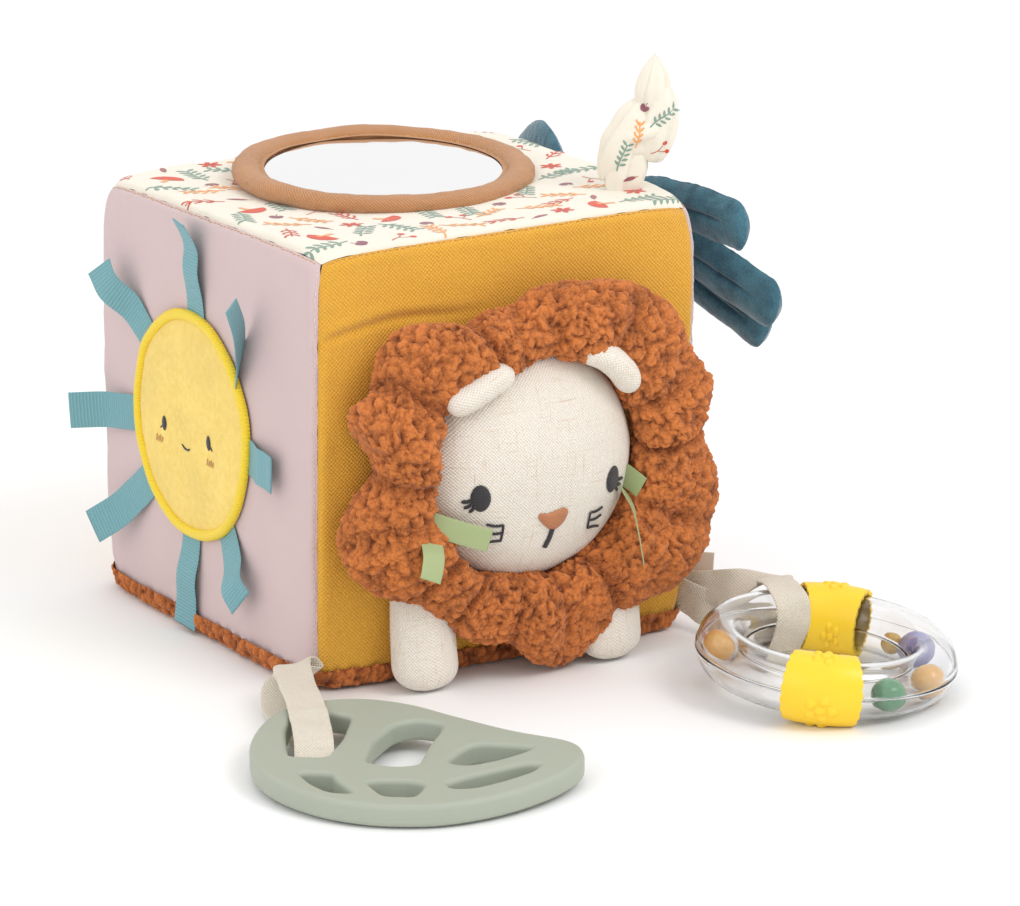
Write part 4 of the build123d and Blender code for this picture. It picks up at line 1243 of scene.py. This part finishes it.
KNOT_SPOTS = {
    1: [
        (-5.5, 13.0, 1.2, 0), (7.2, 26.0, 0.6, 7), (1.5, 29.0, 1.0, 3),
        (6.0, 15.5, 0.2, 6), (-3.0, 6.0, 0.3, 8), (-0.5, 20.5, 1.4, 2),
    ],
    -1: [(-6.0, 12.0, 1.2, 2), (6.0, 20.0, 0.6, 5), (-1.0, 26.0, 1.0, 0), (0.0, 8.0, 0.2, 3)],
}
for face, spots in KNOT_SPOTS.items():
    ink = Batch()
    print_pattern(ink, on_knot(face), spots, 0.72)
    part = ink.make(f"knot_print_{'front' if face > 0 else 'back'}", PRINT_INKS)
    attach(part, "knot_tag")
for part in knot_parts:
    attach(part, "knot_tag")
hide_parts("knot_tag")

# === care label ===
label_line = smooth(
    [(66.4, -66.4, 20.3), (69.0, -69.0, 20.4), (72.0, -71.6, 20.2), (75.2, -73.6, 20.0)], 24
)
upwards = np.broadcast_to(np.array([0.0, 0, 1]), label_line.shape)
label = ribbon("care_label", label_line, upwards, 11.4, 0.3, label_satin)
claim(label, "care_label", "care_label")

# === leaf teether ===
LEAF_MID = np.array([-79.0, -151.0])
LEAF_TURN = math.radians(-31.6)
LEAF_RISE = math.radians(2.55)
leaf_u = np.array([math.cos(LEAF_TURN), math.sin(LEAF_TURN), 0])
leaf_level = np.array([-leaf_u[1], leaf_u[0], 0])
leaf_v = leaf_level * math.cos(LEAF_RISE) + np.array([0, 0, math.sin(LEAF_RISE)])
leaf_n = np.cross(leaf_u, leaf_v)
LEAF_NEAR = 45.0  # from the leaf's middle to the edge that lies on the floor
leaf_under = np.array([*LEAF_MID, LEAF_NEAR * math.sin(LEAF_RISE) + 0.3])
LEAF_OUTLINE = [
    (49.8, -1.5), (45.4, 7.6), (28, 16.0), (11, 27), (-3, 36.5), (-18, 41), (-33.5, 38),
    (-43.5, 28.5),
    (-48.2, 14), (-49, -1), (-46, -15), (-38.5, -27.5), (-26, -38), (-12, -43.5), (2, -44.5),
    (14, -42), (28, -34.5), (40.5, -23), (48.0, -11.5),
]
LEAF_HOLES = [
    [(-38.6, 27.5), (-28, 29.5), (-19.5, 26), (-21.2, 8), (-25.2, -7.5), (-37.8, -7),
     (-40.0, 12)],
    [(-15, -11), (-13.4, 5), (-7.6, 20), (-0.5, 24), (7.6, 21), (7.8, 15), (5, 5), (2, -13),
     (-6, -14.5)],
    [(8.6, -10.7), (13.5, 0), (17.6, 5), (26.4, 4.4), (36, 2.6), (32.3, -2.5), (23.8, -9.4),
     (15.3, -13.4)],
    [(-34, -19), (-29.6, -18.3), (-23, -19), (-21.6, -24), (-15.0, -35.0), (-23.4, -34.6),
     (-29.6, -28)],
    [(-14, -25.5), (-10, -24.3), (0, -24.1), (5, -27), (3.3, -33), (1.4, -37.4), (-7.8, -37),
     (-10.9, -32)],
    [(9, -26.7), (15.6, -21), (24, -15.5), (32.5, -10), (38, -10.4), (35.5, -17), (27, -24.6),
     (18.7, -30.2), (11.7, -31)],
]


def rounded(outline, amount):
    """Corners of a closed outline, each turned into a small arc."""
    p = np.asarray(outline, float)
    result = []
    for i in range(len(p)):
        before, here, after = p[i - 1], p[i], p[(i + 1) % len(p)]
        sides = [0.45 * np.linalg.norm(q - here) for q in (before, after)]
        reach_in = min(amount, *sides)
        a, b = here + unit(before - here) * reach_in, here + unit(after - here) * reach_in
        for q in np.linspace(0, 1, 9):
            result.append((1 - q) ** 2 * a + 2 * q * (1 - q) * here + q**2 * b)
    return np.array(result)


def cut_sheet(name, outline, holes, half_thick, edge, material):
    """A plate with holes and rounded rims, lying in XY about its mid plane, in mm."""
    curve = bpy.data.curves.new(name, "CURVE")
    curve.dimensions, curve.fill_mode = "2D", "BOTH"
    curve.extrude, curve.bevel_depth = (half_thick - edge) * MM, edge * MM
    curve.bevel_resolution = 5
    for line in [outline] + holes:
        spline = curve.splines.new("POLY")
        spline.points.add(len(line) - 1)
        for point, (x, y) in zip(spline.points, line):
            point.co = (x * MM, y * MM, 0, 1)
        spline.use_cyclic_u = True
    holder = bpy.data.objects.new(name + "_curve", curve)
    bpy.context.scene.collection.objects.link(holder)
    bpy.context.view_layer.update()
    graph = bpy.context.evaluated_depsgraph_get()
    mesh = bpy.data.meshes.new_from_object(holder.evaluated_get(graph))
    bpy.data.objects.remove(holder)
    bpy.data.curves.remove(curve)
    mesh.materials.clear()
    mesh.materials.append(material)
    obj = bpy.data.objects.new(name, mesh)
    bpy.context.scene.collection.objects.link(obj)
    return obj


def inset(line, by):
    """The outline moved inwards, to make room for its rounded rim."""
    p = np.asarray(line, float)
    along = unit(np.roll(p, -1, 0) - np.roll(p, 1, 0))
    side = np.stack([-along[:, 1], along[:, 0]], 1)
    area = 0.5 * np.sum(p[:, 0] * np.roll(p[:, 1], -1) - np.roll(p[:, 0], -1) * p[:, 1])
    return p + side * (by if area > 0 else -by)


RIM = 1.7
LEAF_HALF_THICK = 3.5
outer = inset(smooth(LEAF_OUTLINE, 190, True), RIM)
inner_lines = [inset(rounded(h, 3.5), -0.9) for h in LEAF_HOLES]
teether = cut_sheet("leaf_teether", outer, inner_lines, LEAF_HALF_THICK, RIM, sage)
v = np.array([q.co for q in teether.data.vertices]) / MM
world = leaf_under + leaf_u * v[:, :1] + leaf_v * v[:, 1:2] + leaf_n * (v[:, 2:] + LEAF_HALF_THICK)
teether.data.vertices.foreach_set("co", (world * MM).ravel())
teether.data.polygons.foreach_set("use_smooth", [True] * len(teether.data.polygons))
teether.data.update()
claim(teether, "leaf_teether", "leaf_teether")

# --- its tape loop ---
strap_at = np.array([LEAF_MID[0], LEAF_MID[1], 0]) + leaf_u * -31.5
# distance from the leaf's middle, height, sideways shift and width
upper = [
    (73.5, 8, -3.3, 8), (71.5, 11.4, -6.2, 9.5), (67.3, 13.0, -9.0, 11.4),
    (60, 13.0, -9.0, 11.8), (48, 12.0, -6.5, 11.8),
    (34, 11.6, -3.5, 11.8), (18, 11.2, -0.8, 11.8), (4, 10.0, 1.2, 11.8), (-3.3, 6.0, 1.8, 11.8),
    (-4.3, 1.4, 2.0, 11.8),
]
lower = [
    (-4.3, 1.4, 2.0, 11.8), (12, 0.9, 1.0, 11.8), (30, 0.9, -3.0, 11.8), (44, 1.2, -8.0, 11.8),
    (54, 3.0, -12.0, 11.8),
    (62, 7.0, -13.0, 11.4), (68, 9.6, -9.5, 10), (73.5, 8, -3.3, 8),
]
for name, line, crease in (("teether_strap", upper, 1.0), ("teether_strap_back", lower, 0.3)):
    line = smooth(line, 120)
    centre = strap_at + leaf_level * line[:, :1] + np.array([0, 0, 1.0]) * line[:, 1:2]
    centre = centre + leaf_u * line[:, 2:3]
    across = leaf_u + np.array([0, 0, 1.0]) * (0.35 * climb(line[:, :1], 52, 72))
    piece = ribbon(name, centre, across, line[:, 3], 1.0, tape, ripple=crease)
    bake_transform(piece)
    if name == "teether_strap":
        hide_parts("teether_strap")

# === ring rattle ===
RING_TURN = math.radians(-30.3)
level_x = np.array([math.cos(RING_TURN), math.sin(RING_TURN), 0])
level_y = np.array([-level_x[1], level_x[0], 0])
SLOPE_Y, SLOPE_X = math.tan(math.radians(2.0)), math.tan(math.radians(-4.8))
ring_n = unit(np.array([0, 0, 1.0]) - level_y * SLOPE_Y - level_x * SLOPE_X)
ring_c = np.array([71.5, -144.5, 12.1])
ring_x = unit(level_x - ring_n * (level_x @ ring_n))
ring_y = np.cross(ring_n, ring_x)
RING_R, TUBE_A, TUBE_B = 33.5, 7.3, 9.0
SHELL_WALL = 1.0


def on_ring(angle, radial, rise):
    """A point round the ring: angle in radians, distance out from the tube's line, and height."""
    every = (np.asarray(q, float) for q in (angle, radial, rise))
    angle, radial, rise = np.broadcast_arrays(*every)
    out = np.cos(angle)[..., None] * ring_x + np.sin(angle)[..., None] * ring_y
    return ring_c + out * (RING_R + radial)[..., None] + ring_n * rise[..., None]


a = turns(200)[:, None]
for name, side in (("ring_shell_upper", 1), ("ring_shell_lower", -1)):
    half = np.linspace(0.02, math.pi - 0.02, 40)
    outside = np.stack([TUBE_A * np.cos(half), side * TUBE_B * np.sin(half)], -1)[3:-3]
    bore_a, bore_b = TUBE_A - SHELL_WALL, TUBE_B - SHELL_WALL
    bore = np.stack([bore_a * np.cos(half), side * bore_b * np.sin(half)], -1)[::-1]
    lip = TUBE_A + 0.35
    lip_out = [[lip, side * 0.12], [lip, side * 0.9]]
    lip_in = [[-lip, side * 0.9], [-lip, side * 0.12]]
    section = np.concatenate([lip_out, outside, lip_in, bore])
    points = on_ring(a, section[None, :, 0], section[None, :, 1])
    shell = grid(name, points, clear, wrap=(True, True))
    claim(shell, name, "ring_rattle")

BEAD_SQUASH = 0.94
# angle round the ring, radius, and how far below the middle it lies
BEADS = {
    "bead_orange_left": (174.0, 5.4, 1.8), "bead_purple": (27.0, 5.4, 1.8),
    "bead_yellow_small": (45.5, 3.6, 3.8),
    "bead_orange_right": (-23.0, 5.4, 1.8), "bead_green": (-59.0, 5.4, 1.8),
}
for name, (angle, r, drop) in BEADS.items():
    centre = on_ring(math.radians(angle), 0, -drop)
    lat, lon = np.meshgrid(np.linspace(0.02, math.pi - 0.02, 40), turns(64), indexing="ij")
    ball = [np.sin(lat) * np.cos(lon), np.sin(lat) * np.sin(lon), BEAD_SQUASH * np.cos(lat)]
    finish = moulded(
        name + "_plastic", BEAD_COLOURS[name], 0.22, 0.004, 0.03, Coat_Weight=0.3
    )
    bead = grid(name, centre + r * np.stack(ball, -1), finish, wrap=(False, True))
    claim(bead, name, name)

SLEEVE_ARC, SLEEVE_ROWS, SLEEVE_SIDES = 33.0, 150, 240
for name, middle in (("far", 82.5), ("near", -96.0)):
    angle = middle + np.linspace(-SLEEVE_ARC / 2, SLEEVE_ARC / 2, SLEEVE_ROWS)
    sec = turns(SLEEVE_SIDES)[None]
    edge = np.linspace(-1, 1, SLEEVE_ROWS)[:, None]
    # the ends of the sleeve are cut in small scallops
    scallop = 0.011 * np.abs(np.sin(sec * 9)) * np.sign(edge) * climb(np.abs(edge), 0.6, 1)
    angle = np.radians(angle)[:, None] + scallop
    dots = np.zeros((SLEEVE_ROWS, SLEEVE_SIDES))
    petals = [(0.0, 0.0, 1.5)]
    petals += [(2.9 * math.cos(q), 2.9 * math.sin(q), 1.35) for q in np.arange(0, TAU, TAU / 5)]
    for seat in (math.pi / 2 - 0.1, math.pi * 1.5, -0.35, math.pi + 0.3):
        for px, py, pr in petals:
            dx = edge * 9.5 - px
            dy = ((sec - seat + math.pi) % TAU - math.pi) * 9.5 - py
            q = (dx**2 + dy**2) / pr**2
            dots = np.maximum(dots, np.clip(1 - q, 0, 1) ** 0.5)
    thick = 1.9 - 0.25 * np.abs(edge) ** 4 + 0.75 * dots
    layers = [
        on_ring(angle, (TUBE_A + gap) * np.cos(sec), (TUBE_B + gap) * np.sin(sec))
        for gap in (0.3 + thick, 0.25)
    ]
    layers[0][..., 2] = np.maximum(layers[0][..., 2], 0.0)
    points = np.concatenate([layers[0], layers[1][::-1]])
    sleeve = grid(f"ring_sleeve_{name}", points, yellow_rubber, None, (True, True))
    claim(sleeve, f"ring_sleeve_{name}", f"ring_sleeve_{name}")

# --- its tape loop ---
TAPE = math.radians(112.5)
hub = on_ring(TAPE, 0, 0)
hub_out = np.cos(TAPE) * ring_x + np.sin(TAPE) * ring_y
tangent = np.cross(ring_n, hub_out)
seam = np.array([66.2, -66.2, 13.0])


def loop_point(out, rise, drift=0.0):
    return hub + hub_out * out + ring_n * rise + tangent * drift


upper = np.array([
    seam + (0, 0, 0.5), seam + (4.0, -8.0, 1.5), seam + (9.0, -17.0, 3.6),
    loop_point(15.0, 6.2, -3.0), loop_point(7.0, 9.4, -1.0), loop_point(-1.0, 10.2),
    loop_point(-7.6, 7.4), loop_point(-9.6, 0.5), loop_point(-5.0, -10.0),
])
lower = np.array([
    loop_point(-5.0, -10.0), loop_point(2.0, -10.9), loop_point(9.5, -8.8),
    loop_point(18.0, -6.0, -1.0), seam + (5.0, -14.0, -4.5), seam + (1.5, -6.0, -2.5),
    seam + (0, 0, -1.0),
])
upright = np.array([0, 0, 1.0])
TAPE_WIDTH = 11.8
# the share of each point's width that lies along the ring rather than upright
for name, line, flats in (
    ("rattle_strap", upper, (0.0, 0.1, 0.35, 0.8, 1, 1, 1, 1, 1)),
    ("rattle_strap_back", lower, (1, 1, 1, 0.75, 0.35, 0.1, 0.0)),
):
    rows = smooth(line, 150)
    flat_share = smooth(np.array(flats)[:, None], 150)
    across = upright * (1 - flat_share) - tangent * flat_share
    piece = ribbon(name, rows, across, TAPE_WIDTH, 1.0, tape, ripple=0.9)
    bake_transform(piece)
    if name == "rattle_strap":
        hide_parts("rattle_strap")

# === hidden pieces ===
HIDDEN = (("mirror_backing", rgb(225, 215, 200)), ("rattle_pellets", rgb(220, 215, 205)))
for node, colour in HIDDEN:
    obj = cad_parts[node]
    obj.data.materials.clear()
    obj.data.materials.append(moulded(node + "_finish", colour, 0.6, 0.03))

# === floor, light and camera ===
floor_mesh = bpy.data.meshes.new("floor")
FLOOR_HALF, FLOOR_Z = 6.0, -0.0002  # in metres
square = ((-1, -1), (1, -1), (1, 1), (-1, 1))
corners = [(x * FLOOR_HALF, y * FLOOR_HALF, FLOOR_Z) for x, y in square]
floor_mesh.from_pydata(corners, [], [(0, 1, 2, 3)])
floor = bpy.data.objects.new("floor", floor_mesh)
bpy.context.scene.collection.objects.link(floor)
floor_material, _, floor_shader = start("floor_paint", 0.9)
floor_shader.inputs["Base Color"].default_value = (0.92, 0.92, 0.92, 1)
floor_mesh.materials.append(floor_material)

world = bpy.data.worlds.new("studio")
bpy.context.scene.world = world
world.use_nodes = True
world.node_tree.nodes["Background"].inputs[0].default_value = (1, 1, 1, 1)
world.node_tree.nodes["Background"].inputs[1].default_value = 1.0


LIT_POINT = Vector((0, -0.03, 0.07))


def area_light(name, at, size, power):
    data = bpy.data.lights.new(name, "AREA")
    data.size, data.energy, data.shape = size, power, "DISK"
    light = bpy.data.objects.new(name, data)
    light.location = at
    light.rotation_euler = (LIT_POINT - Vector(at)).to_track_quat("-Z", "Y").to_euler()
    bpy.context.scene.collection.objects.link(light)


area_light("key", (0.5, -1.1, 1.3), 0.7, 7.0)
area_light("fill", (-1.4, -0.7, 0.8), 1.0, 3.5)
area_light("top", (0.0, 0.3, 1.7), 1.0, 1.5)

camera = bpy.data.cameras.new("camera")
camera.lens, camera.sensor_width, camera.sensor_fit = 157.3, 36.0, "HORIZONTAL"
camera_object = bpy.data.objects.new("camera", camera)
camera_object.location = (-0.6822, -1.2380, 0.4448)
aim = Vector((-0.0014, -0.0735, 0.070)) - camera_object.location
camera_object.rotation_euler = aim.to_track_quat("-Z", "Y").to_euler()
bpy.context.scene.collection.objects.link(camera_object)
bpy.context.scene.camera = camera_object
bpy.context.scene.view_settings.view_transform = "Standard"
